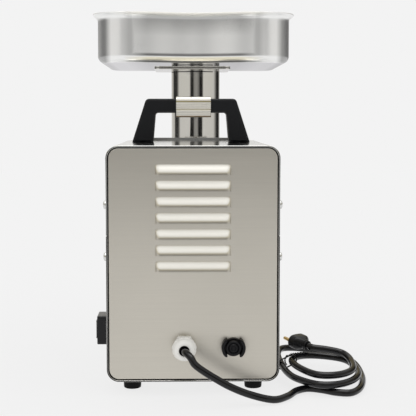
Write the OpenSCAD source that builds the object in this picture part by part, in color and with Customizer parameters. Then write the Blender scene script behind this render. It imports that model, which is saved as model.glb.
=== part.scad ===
// Electric meat grinder: box casing with motor and gearbox inside, grinding head in front, tray on top.
// The origin is on the table under the middle of the casing. +Y points to the grinding head, +Z up.

/* [Casing] */
// Width of the casing
case_w = 173; // [168:1:180]
// Depth of the casing, rear panel to front panel
case_d = 240; // [240:1:250]
// Height of the casing without its feet
case_h = 236.5; // [234:0.5:240]
// Outside radius of the casing's four long edges
case_r = 12.5; // [10:0.5:15]
// Thickness of the casing's stainless sheet
sheet_t = 1.5; // [1.2:0.1:1.8]
// Height of the side seam above the table
seam_z = 162; // [155:1:170]
// Distance of the upper side screws above the seam
side_screw_up = 29.3; // [26:0.1:32]
// Distance of the lower side screws below the seam
side_screw_down = 23.3; // [20:0.1:26]
// Distance of the side screws from the nearest panel
side_screw_in = 18; // [14:1:20]

/* [Louvres and feet] */
// Number of louvres in the rear panel
louvre_count = 7; // [3:1:7]
// Spacing of the louvres
louvre_pitch = 16.07; // [15:0.5:17]
// Height of the lowest louvre's lip above the table
louvre_low_z = 126.2; // [124:1:130]
// Width of a louvre's hood
louvre_w = 73; // [60:1:90]
// Height of the rubber feet
foot_h = 15; // [12:1:18]
// Distance of the feet from the casing's middle, sideways
foot_x = 62.6; // [58:1:66]
// Distance of the feet from the casing's middle, lengthways
foot_y = 84; // [78:1:90]

/* [Handle] */
// Half-width of the handle where it stands on the cover
handle_foot_hw = 65.7; // [62:0.5:68]
// Half-width of the handle at the crossbar
handle_top_hw = 50; // [47:0.5:53]
// Height of the crossbar's top above the table
handle_top_z = 300.1; // [299:0.1:300.2]
// Thickness of the crossbar
crossbar_t = 15.7; // [13:0.5:17]
// Depth of the handle
handle_d = 28; // [24:1:30]

/* [Grinding head] */
// Distance of the head's centre line to the right of the casing's middle
head_x = 6.2; // [5:0.2:7]
// Height of the auger's axis above the table
head_z = 185; // [183:0.5:186]
// Outside diameter of the feed tube
tube_od = 62; // [60:0.5:63]
// Wall thickness of the feed tube
tube_wall = 2.5; // [2:0.1:3]
// Distance from the rear panel to the feed tube's axis
tube_from_rear = 307; // [306:0.5:309]
// Diameter of the grinding plate
plate_d = 70; // [69:0.5:70]
// Outside diameter of the auger's flight
auger_d = 57; // [55:0.5:57]

/* [Tray] */
// Width of the tray's walls
tray_w = 220; // [210:1:230]
// Height of the tray floor's underside above the table
tray_z = 341.3; // [341:0.1:345]
// Height of the tray's rim above its floor
tray_h = 55.7; // [50:1:60]
// Distance from the rear panel to the tray's rear lobes
tray_from_rear = 140; // [138:1:142]
// Length of the tray, front to back
tray_l = 218; // [214:1:222]
// Depth of the hollow in the tray's rear wall
tray_hollow = 12.5; // [8:0.5:14]
// How far the tray's rim flares outwards
rim_flare = 5.6; // [4:0.2:7]
// How far the tray lifts off
tray_lift = 85; // [60:5:90]

/* [Gears] */
// Teeth of both pinions
pinion_teeth = 18; // [18:1:18]
// Teeth of both wheels
wheel_teeth = 54; // [54:1:54]
// Module of the motor pinion and its wheel
module_1 = 1.25; // [1.2:0.05:1.25]
// Module of the slow pinion and the output gear
module_2 = 1.5; // [1.45:0.05:1.5]

/* [Cord] */
// Diameter of the power cord
cord_d = 7.2; // [6.5:0.1:7.4]

/* [Hidden] */

// Places along the object, all from the casing's two ends
rear_y = -case_d / 2;
front_y = case_d / 2;
case_top = foot_h + case_h;
case_mid_z = foot_h + case_h / 2;
shell_lip = 0.8;
seam_gap = 0.4;
gasket_t = 1.3;
panel_t = 1.2;
flange_d = 24;
panel_inset = sheet_t + gasket_t;
touch = 0.05;
round_fn = 64;
small_fn = 32;

// Screws
m4_r = 2;
m5_r = 2.5;
m6_r = 3;
screw_gap = 0.1;
washer_t = 1;
washer_r = 4.8;

// Rear panel fittings
gland_x = -8.9;
gland_z = 50.6;
gland_mouth_r = 5.2;
gland_hole_r = 8;
breaker_x = 40.2;
breaker_z = 50.4;
breaker_hole_r = 6;
terminal_y = rear_y + 30;

// Switch on the left side
switch_y = rear_y + 55.5;
switch_z = 58;
switch_l = 27;
switch_h = 30;
switch_proud = 13;
switch_window_l = 19;
switch_window_h = 24.4;
rocker_r = 12;
rocker_pivot_x = -case_w / 2 - 6.5;
rocker_pin_r = 1.45;
running = 0.05;

// Motor and gear train, laid out backwards from the front panel
collar_sleeve_y = front_y - 16;
cover_y = collar_sleeve_y - 12;
gear_room_y = cover_y - 40;
gear_case_y = gear_room_y - 10;
stage_1_y = gear_room_y + 4;
stage_1_w = 12;
stage_2_y = gear_room_y + 22;
stage_2_w = 16;
centre_1 = module_1 * (pinion_teeth + wheel_teeth) / 2;
centre_2 = module_2 * (pinion_teeth + wheel_teeth) / 2;
idler_z = head_z - centre_2;
motor_z = idler_z - centre_1;
front_bell_y = gear_case_y - 28;
stator_y = front_bell_y - 60;
rear_bell_y = stator_y - 28;
motor_r = 60;
capacitor_x = -57;
capacitor_r = 18;
capacitor_z = foot_h + sheet_t + capacitor_r;
motor_shaft_r = 7.5;
motor_bearing_r = 17.5;
pinion_seat_r = 6;
idler_shaft_r = 6;
output_shaft_r = 10;
pressure_angle = 20;
backlash = 0.12;

// Grinding head
tube_y = rear_y + tube_from_rear;
collar_y = front_y + 1;
collar_plate_t = 6;
hub_y = collar_y + collar_plate_t;
barrel_y = tube_y - tube_od / 2;
barrel_r = 35;
knob_y = hub_y + 15;
bore_r = auger_d / 2 + 0.5;
shank_r = 25;
chamber_y = tube_y + 38;
chamber_r = 41;
plate_y = chamber_y + 9;
plate_t = 8;
mouth_y = plate_y + plate_t - 2;
nut_r = 48;
nut_lip_r = 31;
auger_start_y = barrel_y + 6;
auger_end_y = chamber_y + 1;
bush_r = 11;
journal_r = 9;
stub_r = 6;
throat_r = 27.6;
throat_z = head_z + 35.5;
relief_h = 1;
drive_side = 12;

// Tray
tray_cx = 2.3;
tray_rear_y = rear_y + tray_from_rear;
tray_front_y = tray_rear_y + tray_l;
tray_sheet = 1.2;
tray_floor_r = 10;
tray_rear_r = 34;
tray_front_r = 27;
tray_hollow_hw = 70;
tray_corner_step = 10;
tray_rear_points = 18;
tray_hole_r = tube_od / 2 - tube_wall + 0.5;

// Handle and tray bracket
handle_x = -1;
handle_y = rear_y + 140;
handle_screw_x = 55;
handle_inner_foot_hw = 42.3;
handle_inner_top_hw = 39.5;
handle_corner_r = 5;
handle_chamfer = 2;
bracket_x = tray_cx - 0.6;
bracket_r = tube_od / 2 + 0.1;
bracket_t = 1.9;
strap_w = 38.5;
strap_z = handle_top_z + 0.3;
strap_t = 2;
hook_t = 1.6;
hook_y = rear_y + 123;
hook_bend_r = 5;

// Power cord on the table
cord_r = cord_d / 2;
plug_r = 7.5;
plug_lobe = 4.5;
plug_tail_r = 5.2;
plug_pin_r = 1.8;
plug_pin_x = 6.3;
cord_sides = 12;
cord_steps = 3;

side_screws_at = [for (sx = [-1, 1], sy = [-1, 1], dz = [-side_screw_down, side_screw_up])
    [sx, sy * (case_d / 2 - side_screw_in), seam_z + dz]];
feet_at = [for (sx = [-1, 1], sy = [-1, 1]) [sx * foot_x, sy * foot_y]];
cradle_screws_at = [for (sx = [-1, 1], sy = [-1, 1]) [head_x + sx * 45, stator_y + 30 + sy * 24]];
collar_screws_at = [for (sx = [-1, 1], sz = [-1, 1]) [head_x + sx * 34, head_z + sz * 34]];
gearbox_screws_at = [for (a = [25, 155]) [head_x + 52 * cos(a), head_z + 52 * sin(a)],
    for (a = [-30, 210]) [head_x + 41 * cos(a), motor_z + 41 * sin(a)]];
motor_bolts_at = [for (a = [45 : 90 : 315]) [head_x + 54 * cos(a), motor_z + 54 * sin(a)]];

// ---- helpers ----

// Extrudes a 2D shape drawn in X and Z from y0 towards +Y
module along_y(y0, len) {
    translate([0, y0 + len, 0]) rotate([90, 0, 0]) linear_extrude(len) children();
}

// Extrudes a 2D shape drawn in Y and Z from x0 towards +X
module along_x(x0, len) {
    translate([x0, 0, 0]) rotate([90, 0, 90]) linear_extrude(len) children();
}

module rod_x(y, z, x0, len, r) {
    translate([x0, y, z]) rotate([0, 90, 0]) cylinder(r = r, h = len, $fn = round_fn);
}

module rod_y(x, z, y0, len, r) {
    translate([x, y0, z]) rotate([-90, 0, 0]) cylinder(r = r, h = len, $fn = round_fn);
}

module rod_z(x, y, z0, len, r) {
    translate([x, y, z0]) cylinder(r = r, h = len, $fn = round_fn);
}

module ring_y(x, z, y0, len, r_out, r_in) {
    difference() {
        rod_y(x, z, y0, len, r_out);
        rod_y(x, z, y0 - touch, len + 2 * touch, r_in);
    }
}

module rounded_rect(w, h, r) {
    square([w - 2 * r, h], center = true);
    square([w, h - 2 * r], center = true);
    for (sx = [-1, 1], sy = [-1, 1])
        translate([sx * (w / 2 - r), sy * (h / 2 - r)]) circle(r = r, $fn = round_fn);
}

// Pan-head screw along Z: the head stands above Z = 0 and the shank hangs below
module pan_screw(r, len, head_r, head_h) {
    difference() {
        rotate_extrude($fn = small_fn)
            polygon([[0, -touch], [head_r, -touch], [head_r, head_h * 0.4], [head_r * 0.85, head_h * 0.8],
                [head_r * 0.5, head_h], [0, head_h]]);
        for (a = [0, 90])
            rotate(a) translate([-head_r * 0.5, -0.45, head_h * 0.45]) cube([head_r, 0.9, head_h]);
    }
    translate([0, 0, -len]) cylinder(r = r, h = len, $fn = small_fn);
}

module hex_y(x, z, y0, len, r) {
    translate([x, y0, z]) rotate([-90, 0, 0]) cylinder(r = r, h = len, $fn = 6);
}

// Points of a smooth curve through control points
function curve_point(p, i, t) =
    let (n = len(p) - 1, a = p[max(i - 1, 0)], b = p[i], c = p[min(i + 1, n)], d = p[min(i + 2, n)])
    0.5 * (2 * b + (c - a) * t + (2 * a - 5 * b + 4 * c - d) * t * t + (3 * b - a - 3 * c + d) * t * t * t);
function smooth_curve(p, steps) = concat(
    [for (i = [0 : len(p) - 2], s = [0 : steps - 1]) curve_point(p, i, s / steps)], [p[len(p) - 1]]);
function unit(v) = v / norm(v);
function tangent(p, i) = unit(p[min(i + 1, len(p) - 1)] - p[max(i - 1, 0)]);

// Round cable swept along a list of points
module cable(path, r, sides) {
    n = len(path);
    rings = [for (i = [0 : n - 1])
        let (t = tangent(path, i), u = unit(cross(t, [0, 0, 1])), v = cross(u, t))
        for (k = [0 : sides - 1]) path[i] + r * (cos(360 * k / sides) * u + sin(360 * k / sides) * v)];
    walls = [for (i = [0 : n - 2], k = [0 : sides - 1])
        let (a = i * sides + k, b = i * sides + (k + 1) % sides)
        [a, b, b + sides, a + sides]];
    caps = [[for (k = [sides - 1 : -1 : 0]) k], [for (k = [0 : sides - 1]) (n - 1) * sides + k]];
    polyhedron(points = rings, faces = concat(walls, caps), convexity = 6);
}

// ---- casing ----

module case_outline(inset) {
    translate([0, case_mid_z]) rounded_rect(case_w - 2 * inset, case_h - 2 * inset, case_r - inset);
}

module shell_band(z0, z1) {
    along_y(rear_y - shell_lip, case_d + 2 * shell_lip)
        intersection() {
            difference() {
                case_outline(0);
                case_outline(sheet_t);
            }
            translate([-case_w, z0]) square([2 * case_w, z1 - z0]);
        }
}

module side_screw_holes(r) {
    for (p = side_screws_at) if (p[0] > 0) rod_x(p[1], p[2], -case_w, 2 * case_w, r);
}

// The strips welded inside both seam edges stand up behind the top cover
module joint_strips() {
    strip_l = case_d - 2 * flange_d - 6;
    for (sx = [-1, 1])
        translate([sx * (case_w / 2 - 1.5 * sheet_t), 0, seam_z])
            cube([sheet_t, strip_l, 24], center = true);
}

module base_shell() {
    color("gainsboro") difference() {
        union() {
            shell_band(foot_h - 1, seam_z - seam_gap / 2);
            joint_strips();
        }
        side_screw_holes(m4_r + screw_gap);
        for (p = feet_at) rod_z(p[0], p[1], 0, 2 * foot_h, m5_r + screw_gap);
        for (p = cradle_screws_at) rod_z(p[0], p[1], 0, 2 * foot_h, m4_r + screw_gap);
        translate([-case_w, switch_y - switch_window_l / 2, switch_z - switch_window_h / 2])
            cube([case_w, switch_window_l, switch_window_h]);
        for (k = [-3 : 3]) translate([-40, k * 12 - 60, 0]) cube([80, 4, 2 * foot_h]);
    }
}

module top_cover() {
    color("gainsboro") difference() {
        shell_band(seam_z + seam_gap / 2, case_top + 1);
        side_screw_holes(m4_r + screw_gap);
        for (sx = [-1, 1])
            rod_z(handle_x + sx * handle_screw_x, handle_y, case_top - 10, 20, m5_r + screw_gap);
    }
}

module panel_blank(plate_y, flange_y) {
    along_y(plate_y, panel_t) case_outline(panel_inset);
    along_y(flange_y, flange_d) difference() {
        case_outline(panel_inset);
        case_outline(panel_inset + panel_t);
    }
}

// Section of a louvre hood in Y and Z: flat at the panel, proud at the lip
function hood_curve(proud, height) = [for (a = [0 : 10 : 90]) [-proud * sin(a), height * (cos(a) - 1)]];

module hood(w, proud, height) {
    along_x(-w / 2, w) polygon(concat([[panel_t, -height], [panel_t, 0]], hood_curve(proud, height)));
}

module louvre(z) {
    translate([0, rear_y, z + 10.3]) difference() {
        hood(louvre_w, 4.5, 10.3);
        translate([0, 0, -1.4]) hood(louvre_w - 2, 3.5, 9.3);
    }
}

module rear_panel() {
    louvre_z = [for (k = [0 : louvre_count - 1]) louvre_low_z + k * louvre_pitch];
    color("tan") {
        difference() {
            panel_blank(rear_y, rear_y);
            side_screw_holes(m4_r + screw_gap);
            rod_y(gland_x, gland_z, rear_y - 5, 10, gland_hole_r);
            rod_y(breaker_x, breaker_z, rear_y - 5, 10, breaker_hole_r);
            for (z = louvre_z)
                translate([-louvre_w / 2 + 1, rear_y - 1, z - touch]) cube([louvre_w - 2, 4, 9]);
        }
        for (z = louvre_z) louvre(z);
    }
}

module front_panel() {
    color("gainsboro") difference() {
        panel_blank(front_y - panel_t, front_y - flange_d);
        side_screw_holes(m4_r + screw_gap);
        rod_y(head_x, head_z, front_y - 5, 10, 32.1);
        for (p = collar_screws_at) rod_y(p[0], p[1], front_y - 5, 10, m6_r + screw_gap);
    }
}

module panel_gaskets() {
    color("black") for (y0 = [rear_y + 0.3, front_y - flange_d + 0.3])
        difference() {
            along_y(y0, flange_d - 0.6) difference() {
                case_outline(sheet_t);
                case_outline(panel_inset);
            }
            side_screw_holes(m4_r + screw_gap);
        }
}

module side_screws() {
    color("silver") for (p = side_screws_at)
        translate([p[0] * (case_w / 2 + washer_t + touch), p[1], p[2]]) rotate([0, p[0] * 90, 0])
            pan_screw(m4_r, 9, 4.3, 2.8);
}

module screw_washers() {
    color("gainsboro") for (p = side_screws_at)
        translate([p[0] * (case_w / 2 + washer_t / 2), p[1], p[2]]) rotate([0, 90, 0])
            difference() {
                cylinder(r = washer_r, h = washer_t, center = true, $fn = small_fn);
                cylinder(r = m4_r + screw_gap, h = 2 * washer_t, center = true, $fn = small_fn);
            }
}

module clinch_nut(r_out, r_in, h) {
    difference() {
        cylinder(r = r_out, h = h, $fn = small_fn);
        translate([0, 0, -touch]) cylinder(r = r_in, h = h + 2 * touch, $fn = small_fn);
    }
}

module clinch_nuts() {
    color("silver") {
        for (p = side_screws_at)
            translate([p[0] * (case_w / 2 - panel_inset - panel_t), p[1], p[2]]) rotate([0, -p[0] * 90, 0])
                clinch_nut(4.2, m4_r + screw_gap, 4);
        for (p = feet_at) translate([p[0], p[1], foot_h + sheet_t]) clinch_nut(5.5, m5_r + screw_gap, 4.5);
    }
}

module rubber_feet() {
    color("dimgray") for (p = feet_at) translate([p[0], p[1], 0]) difference() {
        cylinder(r1 = 8.7, r2 = 9.7, h = foot_h, $fn = round_fn);
        translate([0, 0, -touch]) cylinder(r = m5_r + screw_gap, h = foot_h + 1, $fn = small_fn);
        translate([0, 0, -touch]) cylinder(r = 5.6, h = 6, $fn = small_fn);
    }
}

// Screws up through the feet, and the four that hold the motor cradle
module base_screws() {
    color("silver") {
        for (p = feet_at) translate([p[0], p[1], 6 - 2 * touch]) rotate([180, 0, 0])
            pan_screw(m5_r, 15, 4.6, 3);
        for (p = cradle_screws_at) translate([p[0], p[1], foot_h - touch]) rotate([180, 0, 0])
            pan_screw(m4_r, 6, 3.6, 2.6);
    }
}

// ---- handle ----

module handle_outline(inset) {
    r = handle_corner_r - inset;
    top = handle_top_z - handle_corner_r;
    corner_x = handle_top_hw - handle_corner_r;
    foot_hw = handle_foot_hw - inset;
    hull() {
        for (sx = [-1, 1]) translate([sx * corner_x, top]) circle(r = r, $fn = small_fn);
        translate([-foot_hw, case_top]) square([2 * foot_hw, 1]);
    }
}

module handle_opening() {
    r = 3;
    top = handle_top_z - crossbar_t - r;
    corner_x = handle_inner_top_hw - r;
    hull() {
        for (sx = [-1, 1]) translate([sx * corner_x, top]) circle(r = r, $fn = small_fn);
        translate([-handle_inner_foot_hw, case_top - 1]) square([2 * handle_inner_foot_hw, 1]);
    }
}

module carry_handle() {
    rear = handle_y - handle_d / 2;
    color("dimgray") translate([handle_x, 0, 0]) difference() {
        hull() {
            along_y(rear + handle_chamfer, handle_d - 2 * handle_chamfer) handle_outline(0);
            along_y(rear, handle_d) handle_outline(handle_chamfer);
        }
        along_y(rear - handle_chamfer, 2 * handle_d) handle_opening();
        for (sx = [-1, 1])
            rod_z(sx * handle_screw_x, handle_y, case_top - touch, 19, m5_r + screw_gap);
    }
}

module handle_screws() {
    color("silver") for (sx = [-1, 1])
        translate([handle_x + sx * handle_screw_x, handle_y, case_top - sheet_t - touch]) rotate([180, 0, 0])
            pan_screw(m5_r, 19, 4.6, 3);
}

// ---- cable gland and cord ----

module gland_body() {
    color("white") difference() {
        union() {
            hex_y(gland_x, gland_z, rear_y - 6, 6, 12.5);
            rod_y(gland_x, gland_z, rear_y - 13, 13 + panel_t + 14, gland_hole_r - 0.1);
        }
        rod_y(gland_x, gland_z, rear_y - 14, 40, 5);
    }
}

module gland_dome_nut() {
    color("white") translate([gland_x, rear_y - 6.2, gland_z]) rotate([90, 0, 0])
        rotate_extrude($fn = round_fn)
            polygon([[gland_hole_r, 0], [12, 0], [12, 6], [11.3, 6.6], [11.3, 8.5], [10.3, 11.5], [8, 13.8],
                [gland_mouth_r, 13.8], [gland_mouth_r, 12.6], [gland_hole_r, 9]]);
}

module gland_seal() {
    color("dimgray") ring_y(gland_x, gland_z, rear_y - 14.8, 1.7, gland_hole_r - 0.2, cord_r + 0.1);
}

module gland_locknut() {
    color("white") difference() {
        hex_y(gland_x, gland_z, rear_y + panel_t, 5, 12);
        rod_y(gland_x, gland_z, rear_y, 10, gland_hole_r);
    }
}

plug_tail = [126, rear_y + 86, 31];
plug_dir = unit([-0.55, 0.75, 0.12]);
table_z = cord_r + 0.6;

// Out of the gland and down to the table
lead_points = [[gland_x, rear_y + 18, gland_z],
    [gland_x, rear_y, gland_z],
    [gland_x, rear_y - 14, gland_z],
    [gland_x + 0.3, rear_y - 21, gland_z],
    [gland_x + 2.4, rear_y - 28, gland_z - 0.3],
    [-2.5, rear_y - 34, 47.4],
    [1, rear_y - 37, 42],
    [8.3, rear_y - 39, 36.5],
    [20, rear_y - 39, 29],
    [36, rear_y - 37, 19.5],
    [56, rear_y - 33, 10.5],
    [78, rear_y - 29, table_z + 0.4],
    [93, rear_y - 16, table_z],
    [104, rear_y + 3, table_z],
    [116.5, rear_y + 12, table_z],
    [130, rear_y + 7, table_z],
    [144, rear_y - 3, table_z]];
// The wide outer lap
outer_lap = [[159, rear_y - 4, table_z],
    [172, rear_y + 18, table_z],
    [180, rear_y + 58, 5],
    [176, rear_y + 98, 10.5],
    [152, rear_y + 116, 15.5],
    [124, rear_y + 119, 20],
    [101, rear_y + 110, 22.5],
    [93.5, rear_y + 90, 21],
    [95, rear_y + 64, 16.5],
    [99, rear_y + 42, 13],
    [107, rear_y + 20, 12]];
// The lower lap
lower_lap = [[126, rear_y - 2, 11.9],
    [148, rear_y, 11.9],
    [166, rear_y + 20, 11.9],
    [174, rear_y + 48, 12.8],
    [167, rear_y + 76, 16.8],
    [147, rear_y + 88, 18.5],
    [122, rear_y + 84, 20.5],
    [106.5, rear_y + 64, 21.5]];
// The upper lap, which ends in the plug
upper_lap = [[108, rear_y + 38, 20.8],
    [124, rear_y + 9, 19.5],
    [146, rear_y + 7, 19.4],
    [164, rear_y + 26, 19.6],
    [168, rear_y + 56, 22],
    [162, rear_y + 74, 25.5],
    [146, rear_y + 78, 28.6],
    plug_tail - 7 * plug_dir + [1.2, 0, 0],
    plug_tail];
cord_points = concat(lead_points, outer_lap, lower_lap, upper_lap);

module power_cord() {
    color("dimgray") cable(smooth_curve(cord_points, cord_steps), cord_r, cord_sides);
}

// Twist tie round the two strands at the hank's left
module cord_tie() {
    tie_y = rear_y + 62;
    tie_w = 2.4;
    tie_t = 0.8;
    slack = 0.7;
    strands = [[95.2, 16.2], [105.9, 21.5]];
    color("black") along_y(tie_y - tie_w / 2, tie_w) difference() {
        hull() for (p = strands) translate(p) circle(r = cord_r + slack + tie_t, $fn = small_fn);
        hull() for (p = strands) translate(p) circle(r = cord_r + slack, $fn = small_fn);
    }
}

module at_plug() {
    translate(plug_tail) rotate([0, acos(plug_dir[2]), atan2(plug_dir[1], plug_dir[0])]) children();
}

module plug_lobes() {
    for (s = [-1, 1]) translate([0, s * plug_lobe, 0]) children();
}

module plug_body() {
    face_z = 20;
    shoulder_z = 12;
    color("dimgray") at_plug() difference() {
        union() {
            cylinder(r = plug_tail_r, h = 6, $fn = small_fn);
            hull() {
                translate([0, 0, 5]) cylinder(r = plug_tail_r, h = 0.5, $fn = small_fn);
                plug_lobes() translate([0, 0, shoulder_z])
                    cylinder(r = plug_r, h = face_z - shoulder_z, $fn = small_fn);
            }
        }
        translate([0, 0, -touch]) cylinder(r = cord_r + 0.3, h = 1, $fn = small_fn);
        for (s = [-1, 1])
            translate([0, s * plug_pin_x, 12]) cylinder(r = plug_pin_r, h = 10, $fn = small_fn);
    }
}

module plug_pins() {
    color("gold") at_plug() for (s = [-1, 1])
        translate([0, s * plug_pin_x, 12]) cylinder(r = plug_pin_r, h = 20, $fn = small_fn);
}

// ---- breaker with its reset button ----

module breaker_body() {
    color("dimgray") difference() {
        union() {
            translate([breaker_x - 7, rear_y + panel_t, breaker_z - 12]) cube([14, 25, 24]);
            rod_y(breaker_x, breaker_z, rear_y - 2.8, 8.8, breaker_hole_r - 0.1);
            for (sz = [-1, 1]) translate([breaker_x - 3, rear_y + panel_t + 25, breaker_z + sz * 7 - 0.4])
                cube([6, 5, 0.8]);
        }
        rod_y(breaker_x, breaker_z, rear_y - 5, 18, 3 + running);
    }
}

module guard_wings() {
    guard_r = 12;
    guard_h = 17;
    guard_gap = 12.4;
    difference() {
        intersection() {
            circle(r = guard_r, $fn = round_fn);
            square([3 * guard_r, guard_h], center = true);
        }
        square([guard_gap, 2 * guard_h], center = true);
    }
}

module breaker_guard() {
    guard_base_t = 3;
    guard_d = 9;
    well_r = 9;
    color("dimgray") {
        along_y(rear_y - guard_base_t, guard_base_t) translate([breaker_x, breaker_z]) difference() {
            union() {
                guard_wings();
                circle(r = well_r + 0.2, $fn = round_fn);
            }
            circle(r = breaker_hole_r, $fn = round_fn);
        }
        along_y(rear_y - guard_d, guard_d - guard_base_t + touch)
            translate([breaker_x, breaker_z]) difference() {
                guard_wings();
                circle(r = well_r, $fn = round_fn);
            }
    }
}

module reset_button() {
    color("black") {
        difference() {
            rod_y(breaker_x, breaker_z, rear_y - 8.5, 4.3, 7.7);
            ring_y(breaker_x, breaker_z, rear_y - 9, 1.2, 5.6, 4.2);
            rod_y(breaker_x, breaker_z, rear_y - 9, 1.2, 2.2);
        }
        rod_y(breaker_x, breaker_z, rear_y - 4.4, 16, 3);
    }
}

// ---- rocker switch ----

module switch_housing() {
    color("dimgray") difference() {
        translate([-case_w / 2 - switch_proud, switch_y - switch_l / 2, switch_z - switch_h / 2])
            cube([switch_proud, switch_l, switch_h]);
        translate([-case_w, switch_y - switch_window_l / 2, switch_z - switch_window_h / 2])
            cube([case_w, switch_window_l, switch_window_h]);
        rod_y(rocker_pivot_x, switch_z, switch_y - switch_l, 2 * switch_l, rocker_pin_r + running);
    }
}

module switch_body() {
    inner_x = -case_w / 2 + sheet_t;
    color("dimgray") {
        translate([inner_x + 0.5, switch_y - 9.5, switch_z - 12]) cube([16, 19, 24]);
        for (sz = [-1, 0, 1])
            translate([inner_x + 16, switch_y - 3, switch_z + sz * 8 - 0.4]) cube([8, 6, 0.8]);
    }
}

module switch_rocker() {
    inner = rocker_pivot_x + 2.6;
    face_out = 7.9;
    color("black") difference() {
        intersection() {
            rod_y(rocker_pivot_x, switch_z, switch_y - 9.2, 18.4, rocker_r);
            translate([rocker_pivot_x - face_out, switch_y - 10, switch_z - 20])
                cube([inner - rocker_pivot_x + face_out, 20, 40]);
        }
        rod_y(rocker_pivot_x, switch_z, switch_y - 10, 20, rocker_pin_r + running);
    }
}

module rocker_pin() {
    color("silver")
        rod_y(rocker_pivot_x, switch_z, switch_y - switch_l / 2 + 0.5, switch_l - 1, rocker_pin_r);
}

// ---- wiring ----

module terminal_block() {
    poles = [for (k = [0 : 3]) 5.5 + k * 11];
    color("white") translate([-45, terminal_y, foot_h + sheet_t]) difference() {
        cube([44, 14, 15]);
        for (x = poles) translate([x, -1, 8]) rotate([-90, 0, 0]) cylinder(r = 2, h = 16, $fn = small_fn);
        for (x = poles) translate([x, 7, 10]) cylinder(r = 2, h = 6, $fn = small_fn);
    }
}

module wire(points) {
    wire_r = 1.4;
    wire_sides = 8;
    cable(smooth_curve(points, 4), wire_r, wire_sides);
}

module wiring_loom() {
    pole_z = foot_h + sheet_t + 8;
    tab_x = capacitor_x + 5;
    color("steelblue") {
        wire([[gland_x - 1, rear_y + 19.5, gland_z],
            [gland_x - 1, rear_y + 22.5, gland_z - 2],
            [-8.5, terminal_y - 5, gland_z - 12],
            [-6.5, terminal_y - 3, pole_z + 3],
            [-6.5, terminal_y - 1, pole_z],
            [-6.5, terminal_y + 6, pole_z]]);
        wire([[-39.5, terminal_y + 8, pole_z],
            [-39.5, terminal_y + 16, pole_z],
            [-39.5, terminal_y + 21, pole_z],
            [-50, switch_y - 4, switch_z - 14],
            [-58.5, switch_y, switch_z - 8]]);
        wire([[-28.5, terminal_y + 8, pole_z],
            [-28.5, terminal_y + 16, pole_z],
            [-28.5, terminal_y + 21, pole_z],
            [tab_x, -52, capacitor_z],
            [tab_x, -46, capacitor_z],
            [tab_x, -40.2, capacitor_z]]);
    }
}

// ---- motor ----

module stator_core() {
    color("slategray") difference() {
        rod_y(head_x, motor_z, stator_y, 60, motor_r);
        rod_y(head_x, motor_z, stator_y - 1, 62, 33);
        for (a = [15 : 30 : 345])
            rod_y(head_x + 41 * cos(a), motor_z + 41 * sin(a), stator_y - 1, 62, 5);
        for (p = motor_bolts_at) rod_y(p[0], p[1], stator_y - 1, 62, m4_r + screw_gap);
    }
}

module stator_windings() {
    color("peru") {
        for (a = [15 : 30 : 345])
            rod_y(head_x + 41 * cos(a), motor_z + 41 * sin(a), stator_y - 2, 64, 4.8);
        for (y0 = [stator_y - 16, stator_y + 61]) ring_y(head_x, motor_z, y0, 15, 48, 35);
    }
}

module end_bell(y0, wall_y) {
    difference() {
        rod_y(head_x, motor_z, y0, 28, motor_r);
        rod_y(head_x, motor_z, wall_y, 20, 50);
        rod_y(head_x, motor_z, y0 - 1, 30, motor_bearing_r);
        for (p = motor_bolts_at) rod_y(p[0], p[1], y0 - 1, 30, m4_r + screw_gap);
        for (a = [0 : 45 : 315])
            rod_y(head_x + 34 * cos(a), motor_z + 34 * sin(a), y0 - 1, 30, 7);
    }
}

module front_end_bell() {
    color("lightgray") {
        end_bell(front_bell_y, front_bell_y - touch);
        ring_y(head_x, motor_z, front_bell_y + 17, 11, motor_bearing_r + 2, motor_bearing_r);
    }
}

module rear_end_bell() {
    color("lightgray") {
        end_bell(rear_bell_y, rear_bell_y + 8 + touch);
        ring_y(head_x, motor_z, rear_bell_y, 11, motor_bearing_r + 2, motor_bearing_r);
    }
}

module motor_bolts() {
    color("silver") for (p = motor_bolts_at) {
        rod_y(p[0], p[1], rear_bell_y, 116, m4_r);
        hex_y(p[0], p[1], rear_bell_y - 3, 3, 4);
    }
}

module rotor_core() {
    color("slategray") difference() {
        rod_y(head_x, motor_z, stator_y, 60, 32.3);
        rod_y(head_x, motor_z, stator_y - 1, 62, motor_shaft_r);
    }
}

module rotor_shaft() {
    color("silver") {
        rod_y(head_x, motor_z, rear_bell_y - 16, gear_room_y - rear_bell_y + 16, motor_shaft_r);
        rod_y(head_x, motor_z, gear_room_y - 1, 18, pinion_seat_r);
    }
}

module cooling_fan() {
    color("white") difference() {
        union() {
            rod_y(head_x, motor_z, rear_bell_y - 15, 10, 14);
            for (a = [0 : 45 : 315]) translate([head_x, rear_bell_y - 10, motor_z]) rotate([0, a, 0])
                rotate([30, 0, 0]) translate([12, -1, -6]) cube([34, 1.6, 12]);
        }
        rod_y(head_x, motor_z, rear_bell_y - 30, 50, motor_shaft_r);
    }
}

module motor_bearings() {
    color("silver") for (y0 = [front_bell_y + 17, rear_bell_y])
        ring_y(head_x, motor_z, y0, 11, motor_bearing_r, motor_shaft_r + running);
}

module motor_cradle() {
    floor_z = foot_h + sheet_t;
    color("dimgray") difference() {
        union() {
            translate([head_x - 52, stator_y, floor_z]) cube([104, 60, 3]);
            for (dy = [6, 48]) translate([head_x - 40, stator_y + dy, floor_z]) cube([80, 6, 34]);
        }
        rod_y(head_x, motor_z, stator_y - 1, 62, motor_r);
        for (p = cradle_screws_at) rod_z(p[0], p[1], floor_z - 1, 5, m4_r + screw_gap);
    }
}

module capacitor() {
    color("white") {
        rod_y(capacitor_x, capacitor_z, -34, 70, capacitor_r);
        for (dx = [-5, 5]) rod_y(capacitor_x + dx, capacitor_z, -40, 7, 1.5);
    }
}

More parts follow.
